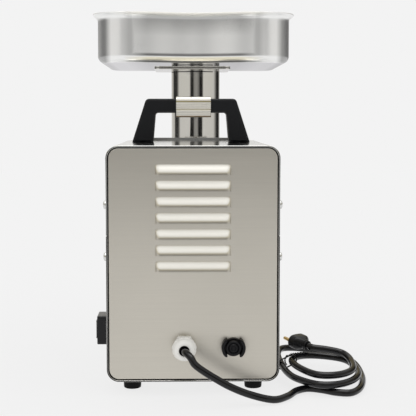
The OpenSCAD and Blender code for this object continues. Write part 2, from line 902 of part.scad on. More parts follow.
// P clamp: a ring over the capacitor with one leg and one foot
module capacitor_clamp() {
    clamp_t = 1.2;
    outer_r = capacitor_r + clamp_t;
    floor_z = foot_h + sheet_t;
    foot_l = 8;
    color("silver") along_y(20, 12) difference() {
        union() {
            translate([capacitor_x, capacitor_z]) circle(r = outer_r, $fn = round_fn);
            translate([capacitor_x, floor_z]) square([outer_r, capacitor_r]);
            translate([capacitor_x, floor_z]) square([outer_r + foot_l, clamp_t]);
        }
        translate([capacitor_x, capacitor_z]) circle(r = capacitor_r, $fn = round_fn);
        translate([capacitor_x - outer_r, floor_z - 2 * clamp_t])
            square([outer_r + capacitor_r, capacitor_r + 2 * clamp_t]);
    }
}

// ---- gearbox ----

function roll(a) = tan(a) * 180 / PI - a;
// Half the angle of a tooth at radius r
function half_tooth(r, base_r, pitch_r, n) =
    90 / n - backlash / 2 / pitch_r * 180 / PI + roll(pressure_angle) - roll(acos(min(1, base_r / r)));

module gear_outline(m, n) {
    pitch_r = m * n / 2;
    base_r = pitch_r * cos(pressure_angle);
    root_r = pitch_r - 1.25 * m;
    tip_r = pitch_r + m;
    start_r = max(base_r, root_r);
    flank = [for (s = [0 : 4])
        let (r = start_r + (tip_r - start_r) * s / 4) [r, half_tooth(r, base_r, pitch_r, n)]];
    side = concat([[root_r, flank[0][1]]], flank);
    polygon([for (k = [0 : n - 1]) let (mid = 360 * k / n)
        each concat(
            [for (p = side) [p[0] * cos(mid - p[1]), p[0] * sin(mid - p[1])]],
            [for (i = [len(side) - 1 : -1 : 0])
                let (p = side[i]) [p[0] * cos(mid + p[1]), p[0] * sin(mid + p[1])]])]);
}

// Spur gear on an axis along Y, with a tooth or a gap turned to face the given angle in X and Z
module gear_y(z, y0, w, m, n, facing, bore_r) {
    difference() {
        translate([head_x, 0, z]) along_y(y0, w) rotate(facing) gear_outline(m, n);
        rod_y(head_x, z, y0 - 1, w + 2, bore_r);
    }
}

module gearbox_outline(inset) {
    hull() {
        translate([head_x, head_z]) circle(r = 51 - inset, $fn = round_fn);
        translate([head_x, motor_z]) circle(r = 40 - inset, $fn = round_fn);
    }
}

module gearbox_ears() {
    for (p = gearbox_screws_at) translate(p) circle(r = 6, $fn = small_fn);
}

module gearbox_case() {
    color("lightgray") difference() {
        along_y(gear_case_y, cover_y - gear_case_y) union() {
            gearbox_outline(0);
            gearbox_ears();
        }
        along_y(gear_room_y, cover_y - gear_room_y + 1) gearbox_outline(6);
        rod_y(head_x, head_z, gear_room_y - 8, 12, 21);
        rod_y(head_x, idler_z, gear_room_y - 8, 12, 14);
        rod_y(head_x, motor_z, gear_case_y - 1, 20, 13);
        for (p = gearbox_screws_at) rod_y(p[0], p[1], gear_case_y - 1, 60, m4_r + screw_gap);
    }
}

module gearbox_cover() {
    color("lightgray") difference() {
        along_y(cover_y, collar_sleeve_y - cover_y) union() {
            gearbox_outline(0);
            gearbox_ears();
        }
        rod_y(head_x, head_z, cover_y - 1, 9, 21);
        rod_y(head_x, head_z, cover_y - 1, 20, 15);
        rod_y(head_x, idler_z, cover_y - 1, 9, 14);
        for (p = gearbox_screws_at) rod_y(p[0], p[1], cover_y - 1, 20, m4_r + screw_gap);
        for (p = collar_screws_at) rod_y(p[0], p[1], cover_y + 3, 20, m6_r);
    }
}

module motor_pinion() {
    color("goldenrod") gear_y(motor_z, stage_1_y, stage_1_w, module_1, pinion_teeth, 90, pinion_seat_r);
}

module idler_gears() {
    color("goldenrod") {
        gear_y(idler_z, stage_1_y, stage_1_w, module_1, wheel_teeth, 180 / wheel_teeth - 90,
            idler_shaft_r - touch);
        gear_y(idler_z, stage_2_y, stage_2_w, module_2, pinion_teeth, 90, idler_shaft_r - touch);
        rod_y(head_x, idler_z, gear_room_y - 7, 54, idler_shaft_r);
    }
}

module output_gear() {
    color("goldenrod")
        gear_y(head_z, stage_2_y, stage_2_w, module_2, wheel_teeth, 180 / wheel_teeth - 90, output_shaft_r);
}

module output_shaft() {
    color("silver") difference() {
        rod_y(head_x, head_z, gear_room_y - 7, front_y - gear_room_y + 5, output_shaft_r);
        translate([head_x - drive_side / 2, front_y - 16, head_z - drive_side / 2])
            cube([drive_side, 30, drive_side]);
    }
}

module gearbox_bearings() {
    color("silver") for (y0 = [gear_room_y - 8, cover_y]) {
        ring_y(head_x, head_z, y0, 8, 21, output_shaft_r + running);
        ring_y(head_x, idler_z, y0, 8, 14, idler_shaft_r + running);
    }
}

module oil_seals() {
    color("dimgray") {
        ring_y(head_x, head_z, cover_y + 8, 4, 15, output_shaft_r + running);
        ring_y(head_x, motor_z, gear_case_y, 10, 13, motor_shaft_r + running);
    }
}

// ---- grinding head ----

module head_collar() {
    plate_w = 128;
    plate_top = case_top + 3;
    plate_h = 136;
    color("gainsboro") difference() {
        union() {
            along_y(collar_y, collar_plate_t)
                translate([head_x, plate_top - plate_h / 2]) rounded_rect(plate_w, plate_h, 10);
            rod_y(head_x, head_z, collar_sleeve_y, collar_y - collar_sleeve_y + 1, 32);
            rod_y(head_x, head_z, collar_y, barrel_y - collar_y, 39);
            rod_x(knob_y, head_z, head_x - 55, 40, 9);
        }
        rod_y(head_x, head_z, collar_sleeve_y - 1, 60, shank_r + running);
        rod_x(knob_y, head_z, head_x - 60, 60, 4 + running);
        for (p = collar_screws_at) rod_y(p[0], p[1], collar_y - 1, 20, m6_r + screw_gap);
    }
}

module collar_screws() {
    color("silver") for (p = collar_screws_at) {
        rod_y(p[0], p[1], collar_y + collar_plate_t, 4, 5);
        rod_y(p[0], p[1], cover_y + 4, collar_y + collar_plate_t - cover_y - 4 + touch, m6_r);
    }
}

module clamp_knob() {
    color("dimgray") {
        rod_x(knob_y, head_z, head_x - shank_r - 45, 46, 4);
        difference() {
            rod_x(knob_y, head_z, head_x - 81, 14, 17);
            for (a = [0 : 60 : 300])
                rod_x(knob_y + 19 * cos(a), head_z + 19 * sin(a), head_x - 82, 16, 5);
        }
    }
}

module grinder_head() {
    tube_r = tube_od / 2;
    color("gainsboro") difference() {
        union() {
            rod_y(head_x, head_z, collar_sleeve_y + touch, barrel_y - collar_sleeve_y, shank_r);
            rod_y(head_x, head_z, barrel_y, chamber_y - barrel_y + 1, barrel_r);
            rod_y(head_x, head_z, chamber_y, mouth_y - chamber_y, chamber_r);
            rod_z(head_x, tube_y, head_z, tray_z - head_z, tube_r);
        }
        rod_y(head_x, head_z, collar_sleeve_y - 1, 80, bush_r);
        rod_y(head_x, head_z, auger_start_y - 2, auger_end_y - auger_start_y + 20, bore_r);
        rod_y(head_x, head_z, chamber_y + 1, 30, plate_d / 2 + 0.1);
        rod_z(head_x, tube_y, head_z, barrel_r + 1, throat_r);
        rod_z(head_x, tube_y, throat_z - relief_h, relief_h, tube_r - tube_wall + 0.5);
        rod_z(head_x, tube_y, throat_z, 300, tube_r - tube_wall);
        rod_x(knob_y, head_z, head_x - shank_r - 1, 2.1, 4 + running);
    }
}

module auger() {
    flight = 60;
    core_r = 12;
    flight_l = auger_end_y - auger_start_y;
    color("silver") {
        rod_y(head_x, head_z, auger_start_y - 1, flight_l + 1, core_r);
        translate([head_x, auger_start_y, head_z]) rotate([-90, 0, 0])
            linear_extrude(flight_l, twist = -720, slices = 54)
                polygon(concat([for (a = [flight : -20 : 0]) [10 * cos(a), 10 * sin(a)]],
                    [for (a = [0 : 10 : flight]) auger_d / 2 * [cos(a), sin(a)]]));
        rod_y(head_x, head_z, front_y - 1, auger_start_y - front_y + 1, journal_r);
        translate([head_x - drive_side / 2, front_y - 15, head_z - drive_side / 2])
            cube([drive_side, 16, drive_side]);
        translate([head_x - 6, auger_end_y - touch, head_z - 6]) cube([12, plate_y - auger_end_y - 0.5, 12]);
        rod_y(head_x, head_z, auger_end_y, plate_y + plate_t - 0.3 - auger_end_y, stub_r);
    }
}

module auger_bush() {
    color("white")
        ring_y(head_x, head_z, front_y + 2, auger_start_y - 4 - front_y, bush_r, journal_r + running);
}

module cutting_knife() {
    color("silver") difference() {
        union() {
            rod_y(head_x, head_z, auger_end_y + 1, plate_y - auger_end_y - 1.3, 13);
            for (a = [0 : 90 : 270]) translate([head_x, 0, head_z]) rotate([0, a, 0])
                translate([0, auger_end_y + 1, -4]) cube([31, plate_y - auger_end_y - 1.3, 8]);
        }
        translate([head_x - 6, auger_end_y, head_z - 6]) cube([12, 30, 12]);
    }
}

module grinding_plate() {
    hole_ring_r = 4;
    hole_ring_step = 7.6;
    plate_hole_r = 2.4;
    color("lightgray") difference() {
        rod_y(head_x, head_z, plate_y, plate_t, plate_d / 2);
        rod_y(head_x, head_z, plate_y - 1, plate_t + 2, stub_r + running);
        for (ring = [1 : 3], k = [0 : ring * 6 - 1])
            let (ring_r = hole_ring_r + ring * hole_ring_step, a = k * 60 / ring)
                rod_y(head_x + ring_r * cos(a), head_z + ring_r * sin(a), plate_y - 1, plate_t + 2,
                    plate_hole_r);
    }
}

module ring_nut() {
    nut_y = chamber_y + 3;
    nut_l = plate_y + plate_t + 4.5 - nut_y;
    color("gainsboro") difference() {
        union() {
            rod_y(head_x, head_z, nut_y, nut_l, nut_r);
            for (a = [0 : 60 : 300])
                rod_y(head_x + nut_r * cos(a), head_z + nut_r * sin(a), nut_y, nut_l, 5);
        }
        rod_y(head_x, head_z, nut_y - 1, plate_y + plate_t + 0.1 - nut_y + 1, chamber_r + running);
        rod_y(head_x, head_z, nut_y - 1, 60, nut_lip_r);
    }
}

// ---- tray ----

// How far the rear wall is pushed in at a distance x from the tray's centre line
function hollow_at(x) = abs(x) < tray_hollow_hw ? tray_hollow * (cos(180 * x / tray_hollow_hw) + 1) / 2 : 0;

function corner(cx, cy, r, a0) =
    [for (a = [a0 : tray_corner_step : a0 + 90]) [cx + r * cos(a), cy + r * sin(a)]];

// Outline of the tray, inset by a distance, at a height
function tray_ring(inset, z) =
    let (hw = tray_w / 2 - inset, y0 = tray_rear_y + inset, y1 = tray_front_y - inset,
        rr = tray_rear_r - inset, rf = tray_front_r - inset, flat = hw - rr,
        outline = concat(
            corner(flat, y0 + rr, rr, 270),
            corner(hw - rf, y1 - rf, rf, 0),
            corner(rf - hw, y1 - rf, rf, 90),
            corner(-flat, y0 + rr, rr, 180),
            [for (k = [1 : tray_rear_points - 1])
                let (x = -flat + 2 * flat * k / tray_rear_points) [x, y0 + hollow_at(x)]]))
    [for (p = outline) [tray_cx + p[0], p[1], z]];

function tray_levels() =
    let (top = tray_z + tray_h, r = tray_floor_r, t = tray_sheet, ri = r - t)
    concat(
        [for (a = [0 : 18 : 90]) [r * (1 - sin(a)), tray_z + r * (1 - cos(a))]],
        [[0, top - 9], [-1.4, top - 5], [-rim_flare + 1.6, top - 2.2], [-rim_flare, top - 1.2],
         [-rim_flare, top], [-rim_flare + 1, top], [-rim_flare + 2.6, top - 1.2], [-0.4, top - 4.6],
         [t, top - 9.2]],
        [for (a = [90 : -18 : 0]) [t + ri * (1 - sin(a)), tray_z + t + ri * (1 - cos(a))]]);

module meat_tray() {
    levels = tray_levels();
    n = len(tray_ring(0, 0));
    rows = len(levels);
    walls = [for (i = [0 : rows - 2], k = [0 : n - 1])
        let (a = i * n + k, b = i * n + (k + 1) % n) each [[a, a + n, b], [b, a + n, b + n]]];
    caps = [[for (k = [0 : n - 1]) k], [for (k = [n - 1 : -1 : 0]) (rows - 1) * n + k]];
    color("gainsboro") difference() {
        polyhedron(points = [for (v = levels) each tray_ring(v[0], v[1])], faces = concat(walls, caps),
            convexity = 8);
        rod_z(head_x, tube_y, tray_z - 5, 20, tray_hole_r);
    }
}

// Strap and hook in Y and Z: over the crossbar, down its rear face and out again at the lip
module hook_profile() {
    in_y = hook_y + hook_t;
    top = strap_z + strap_t;
    front = tube_y - 20;
    bend_y = hook_y + hook_bend_r;
    bend_z = top - hook_bend_r;
    inner_r = hook_bend_r - strap_t;
    lip_bend_z = 288;
    lip_out = 4.6;
    lip_drop = 8.4;
    lip_nx = 1.4;
    lip_nz = 0.8;
    outer = [for (a = [90 : 15 : 180]) [bend_y + hook_bend_r * cos(a), bend_z + hook_bend_r * sin(a)]];
    inner = [for (a = [180 : -15 : 90])
        [in_y + inner_r + inner_r * cos(a), strap_z - inner_r + inner_r * sin(a)]];
    lip = [[hook_y, lip_bend_z],
        [hook_y - lip_out, lip_bend_z - lip_drop],
        [hook_y - lip_out + lip_nx, lip_bend_z - lip_drop - lip_nz],
        [in_y, lip_bend_z - lip_nz / 2]];
    polygon(concat([[front, top]], outer, lip, inner, [[front, strap_z]]));
}

// The plate that hugs the tube, wrapped further round on its left
module bracket_arm() {
    arm_z = strap_z + strap_t - 0.4;
    arm_h = tray_z - 1 - arm_z;
    arm_left = 202;
    arm_right = 311;
    reach = 3 * bracket_r;
    edges = [for (a = [arm_left : (arm_right - arm_left) / 2 : arm_right]) [reach * cos(a), reach * sin(a)]];
    intersection() {
        rod_z(head_x, tube_y, arm_z, arm_h, bracket_r + bracket_t);
        translate([head_x, tube_y, arm_z - 1]) linear_extrude(arm_h + 2) polygon(concat([[0, 0]], edges));
    }
}

module tray_bracket() {
    flange_w = 95;
    flange_d = 90;
    flange_y = rear_y + 260;
    flange_r = 8;
    color("gainsboro") difference() {
        union() {
            translate([bracket_x, flange_y + flange_d / 2, tray_z - strap_t]) linear_extrude(strap_t)
                rounded_rect(flange_w, flange_d, flange_r);
            bracket_arm();
            along_x(bracket_x - strap_w / 2, strap_w) hook_profile();
        }
        rod_z(head_x, tube_y, strap_z - 20, 80, bracket_r);
    }
}

base_shell();
top_cover();
rear_panel();
front_panel();
panel_gaskets();
side_screws();
screw_washers();
clinch_nuts();
rubber_feet();
base_screws();
carry_handle();
handle_screws();
gland_body();
gland_dome_nut();
gland_seal();
gland_locknut();
power_cord();
cord_tie();
plug_body();
plug_pins();
breaker_body();
breaker_guard();
reset_button();
switch_housing();
switch_body();
switch_rocker();
rocker_pin();
terminal_block();
wiring_loom();
stator_core();
stator_windings();
front_end_bell();
rear_end_bell();
motor_bolts();
rotor_core();
rotor_shaft();
cooling_fan();
motor_bearings();
motor_cradle();
capacitor();
capacitor_clamp();
gearbox_case();
gearbox_cover();
motor_pinion();
idler_gears();
output_gear();
output_shaft();
gearbox_bearings();
oil_seals();
head_collar();
collar_screws();
clamp_knob();
grinder_head();
auger();
auger_bush();
cutting_knife();
grinding_plate();
ring_nut();
meat_tray();
tray_bracket();
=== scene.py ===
import math

import bmesh
import bpy
from mathutils import Matrix, Vector


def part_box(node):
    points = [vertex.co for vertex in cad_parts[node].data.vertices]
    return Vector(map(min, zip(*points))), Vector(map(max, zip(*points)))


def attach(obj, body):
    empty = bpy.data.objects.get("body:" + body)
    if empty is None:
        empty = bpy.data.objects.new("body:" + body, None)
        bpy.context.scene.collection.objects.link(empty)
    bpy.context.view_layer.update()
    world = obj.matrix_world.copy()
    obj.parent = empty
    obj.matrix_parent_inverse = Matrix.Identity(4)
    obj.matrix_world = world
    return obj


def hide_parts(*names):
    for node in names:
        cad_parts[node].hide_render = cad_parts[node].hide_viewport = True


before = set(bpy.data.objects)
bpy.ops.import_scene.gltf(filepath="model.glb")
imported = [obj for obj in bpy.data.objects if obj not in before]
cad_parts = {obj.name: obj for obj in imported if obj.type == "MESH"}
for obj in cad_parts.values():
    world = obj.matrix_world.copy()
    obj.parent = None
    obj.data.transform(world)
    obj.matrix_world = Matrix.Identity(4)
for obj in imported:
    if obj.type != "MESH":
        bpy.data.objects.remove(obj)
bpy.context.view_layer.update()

# Lengths in this script are millimetres in the CAD frame; MM turns them into Blender's metres.
MM = 0.001


def span(node):
    """Lowest and highest corner of a CAD node, in millimetres."""
    low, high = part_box(node)
    return [c / MM for c in low], [c / MM for c in high]


def middle(node):
    """The middle of a CAD node's box, in millimetres."""
    low, high = span(node)
    return [(a + b) / 2 for a, b in zip(low, high)]


# ---- places taken from the frame ----
SHELL_LIP = 0.8
CASE_LOW, _ = span("base_shell")
_, CASE_HIGH = span("top_cover")
REAR = CASE_LOW[1] + SHELL_LIP
FRONT = CASE_HIGH[1] - SHELL_LIP
CASE_W = CASE_HIGH[0] - CASE_LOW[0]
CASE_R = 12.5
HEAD_X = middle("output_shaft")[0]
TUBE_FORWARD = 67.0
TUBE_Y = FRONT + TUBE_FORWARD
TUBE_R = 31.0


# ---- mesh helpers ----
# Corners closer than this, in millimetres, are one corner
MERGE = 1e-5


def finish_mesh(name, mesh, body, material, node, sharp):
    """Turns a mesh in millimetres into a piece that rides on a body and stands for a CAD node. Edges sharper
    than an angle in degrees stay crisp."""
    mesh.transform(Matrix.Scale(MM, 4))
    mesh.polygons.foreach_set("use_smooth", [True] * len(mesh.polygons))
    mesh.set_sharp_from_angle(angle=math.radians(sharp))
    mesh.materials.clear()
    mesh.materials.append(MATERIALS[material])
    piece = bpy.data.objects.new(name, mesh)
    bpy.context.scene.collection.objects.link(piece)
    flat_shade = piece.modifiers.new("Weighted_Normal", "WEIGHTED_NORMAL")
    flat_shade.keep_sharp = True
    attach(piece, body)
    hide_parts(node)


def bevel(piece, width, segments=3, angle=30.0):
    """Rounds a piece's hard edges by a width in millimetres."""
    mod = piece.modifiers.new("Edge_Round", "BEVEL")
    mod.width = width * MM
    mod.segments = segments
    mod.limit_method = "ANGLE"
    mod.angle_limit = math.radians(angle)
    mod.use_clamp_overlap = True
    mod.harden_normals = True


def mesh_from(vertices, faces):
    """A mesh from its corners and faces, with its normals facing outwards."""
    mesh = bpy.data.meshes.new("Mesh")
    mesh.from_pydata([tuple(v) for v in vertices], [], faces)
    mesh.validate()
    fix_normals(mesh)
    return mesh


def fix_normals(mesh):
    """Welds corners that meet and turns every face outwards."""
    edit = bmesh.new()
    edit.from_mesh(mesh)
    bmesh.ops.remove_doubles(edit, verts=edit.verts, dist=MERGE)
    bmesh.ops.recalc_face_normals(edit, faces=edit.faces)
    edit.to_mesh(mesh)
    edit.free()


def join_meshes(meshes):
    """One mesh holding several closed solids."""
    edit = bmesh.new()
    for mesh in meshes:
        edit.from_mesh(mesh)
        bpy.data.meshes.remove(mesh)
    joined = bpy.data.meshes.new("Mesh")
    edit.to_mesh(joined)
    edit.free()
    return joined


def loft(rings, loop=False):
    """Skin over rings of equal length, closed at both ends. A loop joins its last ring to its first."""
    n = len(rings[0])
    vertices = [v for ring in rings for v in ring]
    faces = []
    for i in range(len(rings) if loop else len(rings) - 1):
        a, b = i * n, ((i + 1) % len(rings)) * n
        faces += [(a + k, a + (k + 1) % n, b + (k + 1) % n, b + k) for k in range(n)]
    if not loop:
        faces.append(tuple(range(n - 1, -1, -1)))
        faces.append(tuple((len(rings) - 1) * n + k for k in range(n)))
    return mesh_from(vertices, faces)


def revolve(profile, origin, axis="y", segments=64):
    """Solid of revolution. profile is a closed loop of (radius, distance along the axis)."""
    rings = []
    for s in range(segments):
        a = 2 * math.pi * s / segments
        ring = []
        for radius, along in profile:
            u, v = radius * math.cos(a), radius * math.sin(a)
            offset = {"x": (along, u, v), "y": (u, along, v), "z": (u, v, along)}[axis]
            ring.append(tuple(o + d for o, d in zip(origin, offset)))
        rings.append(ring)
    return loft(rings, loop=True)


def arc(cx, cy, r, a0, a1, steps):
    """Points on an arc, angles in degrees."""
    turns = [math.radians(a0 + (a1 - a0) * k / steps) for k in range(steps + 1)]
    return [(cx + r * math.cos(a), cy + r * math.sin(a)) for a in turns]


def rounded_rect(w, h, r, cx=0.0, cy=0.0, steps=8):
    """Rounded rectangle, anticlockwise."""
    x, y = w / 2 - r, h / 2 - r
    points = []
    for sx, sy, a in ((1, -1, -90), (1, 1, 0), (-1, 1, 90), (-1, -1, 180)):
        points += arc(cx + sx * x, cy + sy * y, r, a, a + 90, steps)
    return points


def circle(cx, cy, r, steps=48):
    """Points round a full circle, each once."""
    return arc(cx, cy, r, 0, 360, steps)[:-1]


def plate(outlines, thickness, edge, segments=2):
    """Flat plate in X and Y, centred on Z = 0, with rounded edges. The first outline is the outside, the
    others are holes."""
    data = bpy.data.curves.new("Plate", "CURVE")
    data.dimensions = "2D"
    data.fill_mode = "BOTH"
    data.extrude = thickness / 2 - edge
    data.bevel_depth = edge
    data.bevel_resolution = segments
    data.offset = -edge
    for outline in outlines:
        spline = data.splines.new("POLY")
        spline.points.add(len(outline) - 1)
        for point, (x, y) in zip(spline.points, outline):
            point.co = (x, y, 0, 1)
        spline.use_cyclic_u = True
    holder = bpy.data.objects.new("Plate", data)
    bpy.context.scene.collection.objects.link(holder)
    bpy.context.view_layer.update()
    mesh = bpy.data.meshes.new_from_object(holder.evaluated_get(bpy.context.evaluated_depsgraph_get()))
    bpy.data.objects.remove(holder)
    bpy.data.curves.remove(data)
    fix_normals(mesh)
    return mesh


def stand_up(mesh, y):
    """Turns a plate drawn in X and Y into the XZ plane, centred on depth y."""
    mesh.transform(Matrix.Translation((0, y, 0)) @ Matrix.Rotation(math.radians(90), 4, "X"))
    return mesh


def smooth_path(points, steps):
    """Catmull-Rom curve through points."""
    p = [Vector(v) for v in points]
    out = []
    for i in range(len(p) - 1):
        a, b, c, d = p[max(i - 1, 0)], p[i], p[i + 1], p[min(i + 2, len(p) - 1)]
        for s in range(steps):
            t = s / steps
            out.append(0.5 * (2 * b + (c - a) * t + (2 * a - 5 * b + 4 * c - d) * t ** 2
                              + (3 * b - a - 3 * c + d) * t ** 3))
    return out + [p[-1]]


def tube(path, radius, sides=20):
    """Round rod swept along a path."""
    rings = []
    side = None
    for i, point in enumerate(path):
        t = (path[min(i + 1, len(path) - 1)] - path[max(i - 1, 0)]).normalized()
        side = t.cross(Vector((0, 0, 1))) if side is None else side - t * side.dot(t)
        side.normalize()
        up = side.cross(t)
        rings.append([point + radius * (math.cos(a) * side + math.sin(a) * up)
                      for a in (2 * math.pi * k / sides for k in range(sides))])
    return loft(rings)


# ---- material helpers ----
# Sockets of Blender's Mix node that carry colors
MIX_A, MIX_B, MIX_RESULT = 6, 7, 2


class Nodes:
    """A small builder for a node tree."""

    def __init__(self, tree):
        self.tree = tree

    def node(self, kind, **values):
        """A new node; a value goes to the input of that name, or else to the node's own setting."""
        made = self.tree.nodes.new(kind)
        for key, value in values.items():
            if key in made.inputs:
                self.put(made.inputs[key], value)
            else:
                setattr(made, key, value)
        return made

    def put(self, socket, value):
        if isinstance(value, bpy.types.NodeSocket):
            self.tree.links.new(value, socket)
        else:
            socket.default_value = value

    def remap(self, value, low, high, from_low=0.3, from_high=0.7):
        """Stretches a value's range to another one and holds it there."""
        made = self.node("ShaderNodeMapRange")
        for key, v in (("Value", value), ("From Min", from_low), ("From Max", from_high),
                       ("To Min", low), ("To Max", high)):
            self.put(made.inputs[key], v)
        return made.outputs["Result"]

    def blend(self, factor, a, b, how="MIX"):
        """Goes from color a to color b with the factor."""
        made = self.tree.nodes.new("ShaderNodeMix")
        made.data_type = "RGBA"
        made.blend_type = how
        self.put(made.inputs["Factor"], factor)
        for socket, color in ((made.inputs[MIX_A], a), (made.inputs[MIX_B], b)):
            self.put(socket, (*color, 1.0) if isinstance(color, tuple) and len(color) == 3 else color)
        return made.outputs[MIX_RESULT]

    def math(self, operation, a, b):
        made = self.tree.nodes.new("ShaderNodeMath")
        made.operation = operation
        self.put(made.inputs[0], a)
        self.put(made.inputs[1], b)
        return made.outputs[0]

    def product(self, first, *others):
        for value in others:
            first = self.math("MULTIPLY", first, value)
        return first

    def ramp(self, value, stops):
        """Color along a value: each stop is a position from 0 to 1 and a color."""
        made = self.node("ShaderNodeValToRGB")
        elements = made.color_ramp.elements
        while len(elements) < len(stops):
            elements.new(0.5)
        for element, (position, color) in zip(elements, stops):
            element.position = position
            element.color = (*color, 1)
        self.put(made.inputs["Fac"], value)
        return made.outputs["Color"]

    def switch(self, share, first, second):
        """The first shader where share is 0, the second where it is 1."""
        made = self.node("ShaderNodeMixShader")
        for socket, value in zip(made.inputs, (share, first, second)):
            self.put(socket, value)
        return made.outputs[0]


class Shader(Nodes):
    """A small builder for one procedural material, new or made before."""

    def __init__(self, material):
        if isinstance(material, str):
            material = bpy.data.materials.new(material)
            material.use_nodes = True
        super().__init__(material.node_tree)
        self.material = material
        self.bsdf = self.tree.nodes["Principled BSDF"]
        self.coordinates = self.tree.nodes.new("ShaderNodeTexCoord").outputs["Object"]

    def set(self, **values):
        for key, value in values.items():
            self.put(self.bsdf.inputs[key.replace("_", " ")], value)

    def noise(self, scale, detail=3.0, roughness=0.55):
        """Noise with its own scale per axis, in features per metre."""
        mapping = self.node("ShaderNodeMapping")
        self.put(mapping.inputs["Vector"], self.coordinates)
        mapping.inputs["Scale"].default_value = scale
        texture = self.node("ShaderNodeTexNoise", Scale=1.0, Detail=detail, Roughness=roughness)
        self.put(texture.inputs["Vector"], mapping.outputs["Vector"])
        return texture.outputs["Fac"]

    def facing(self, axis, low, high):
        """0 to 1 as the surface's normal component along an axis goes from low to high."""
        split = self.node("ShaderNodeSeparateXYZ")
        self.put(split.inputs[0], self.tree.nodes.new("ShaderNodeNewGeometry").outputs["Normal"])
        return self.remap(split.outputs[axis], 0.0, 1.0, low, high)

    def place(self, axis, low, high):
        """0 to 1 between two places along an axis, in millimetres."""
        split = self.node("ShaderNodeSeparateXYZ")
        self.put(split.inputs[0], self.coordinates)
        return self.remap(split.outputs[axis], 0.0, 1.0, low * MM, high * MM)

    def band(self, axis, rise, fall, base=0.0):
        """1 in a band along an axis. rise and fall are its two ends, each from where it is 0 to where it
        is 1, in millimetres from base."""
        ends = [self.place(axis, base + out, base + full) for out, full in (rise, fall)]
        return self.product(*ends)

    def bump(self, height, depth, strength=1.0, normal=None):
        """depth is in millimetres."""
        made = self.node("ShaderNodeBump", Height=height, Distance=depth * MM, Strength=strength)
        if normal is not None:
            self.put(made.inputs["Normal"], normal)
        self.put(self.bsdf.inputs["Normal"], made.outputs["Normal"])
        return made.outputs["Normal"]


def shade(color, factor):
    """A color made lighter or darker."""
    return tuple(min(1.0, c * factor) for c in color)


def brushed_steel(name, color, along, roughness=0.3, contrast=0.10, tangent=None, anisotropy=0.5):
    """Stainless sheet brushed along one axis (0, 1 or 2): fine and coarse grain, and faint clouding."""
    s = Shader(name)
    fine = [2600.0] * 3
    coarse = [420.0] * 3
    fine[along], coarse[along] = 14.0, 5.0
    grain = s.noise(fine, 2.0)
    band = s.noise(coarse, 3.0)
    cloud = s.noise((9.0, 9.0, 9.0), 2.0)
    mix = s.math("ADD", s.math("MULTIPLY", grain, 0.55), s.math("MULTIPLY", band, 0.45))
    base = s.blend(s.remap(mix, 0.0, 1.0), shade(color, 1 - contrast), shade(color, 1 + contrast))
    base = s.blend(s.remap(cloud, 0.0, 0.35), base, shade(color, 1 - contrast / 2))
    s.set(Base_Color=base, Metallic=1.0, Anisotropic=anisotropy)
    s.set(Roughness=s.math("ADD", s.remap(mix, roughness - 0.05, roughness + 0.06),
                           s.remap(cloud, -0.02, 0.03)))
    if tangent:
        vector = s.node("ShaderNodeCombineXYZ", X=tangent[0], Y=tangent[1], Z=tangent[2])
        s.put(s.bsdf.inputs["Tangent"], vector.outputs[0])
    s.bump(mix, 0.012, 0.6)
    return s.material


def polished_steel(name, color, roughness=0.09, wave=0.02):
    """Near-mirror stainless with faint polishing waviness, wipe marks and hairlines."""
    s = Shader(name)
    smear = s.noise((35.0, 35.0, 12.0), 4.0, 0.6)
    hair = s.noise((1500.0, 1500.0, 60.0), 2.0)
    sheet = s.noise((22.0, 22.0, 16.0), 1.0)
    s.set(Base_Color=s.blend(s.remap(smear, 0.0, 0.5), color, shade(color, 0.93)), Metallic=1.0)
    gloss = s.remap(smear, roughness * 0.7, roughness * 1.5)
    s.set(Roughness=s.math("ADD", gloss, s.remap(hair, 0.0, 0.03)))
    s.bump(sheet, wave, 0.5, s.bump(hair, 0.002, 0.4))
    return s.material


# Painted shade and painted highlights on the tray's rear wall, each with the places where it fades in and
# out, in millimetres:
# across from the tray's middle
TRAY_MIDDLE = ((-78.0, -52.0), (78.0, 52.0))
TRAY_LIP_HIGHLIGHT_MIDDLE = ((-92.0, -62.0), (92.0, 62.0))
TRAY_EDGE_SHADE = (93.0, 100.0)
TRAY_CORNER_SHADE = ((79.0, 73.0), (66.0, 70.0))
# up from its floor
TRAY_BEND_SHADE_LINE = ((11.0, 9.0), (6.5, 7.5))
TRAY_BEND_HIGHLIGHT = ((6.5, 5.5), (1.8, 2.6))
TRAY_FOOT_SHADE_LINE = (2.2, 1.4)
TRAY_CORNER_SHADE_FOOT = (7.0, 8.0)
# and up from its rim
TRAY_RIM_SHADE = (-26.0, -7.0)
TRAY_EDGE_SHADE_TOP = (-5.0, -9.0)
TRAY_LIP_HIGHLIGHT = (-3.2, -2.2)


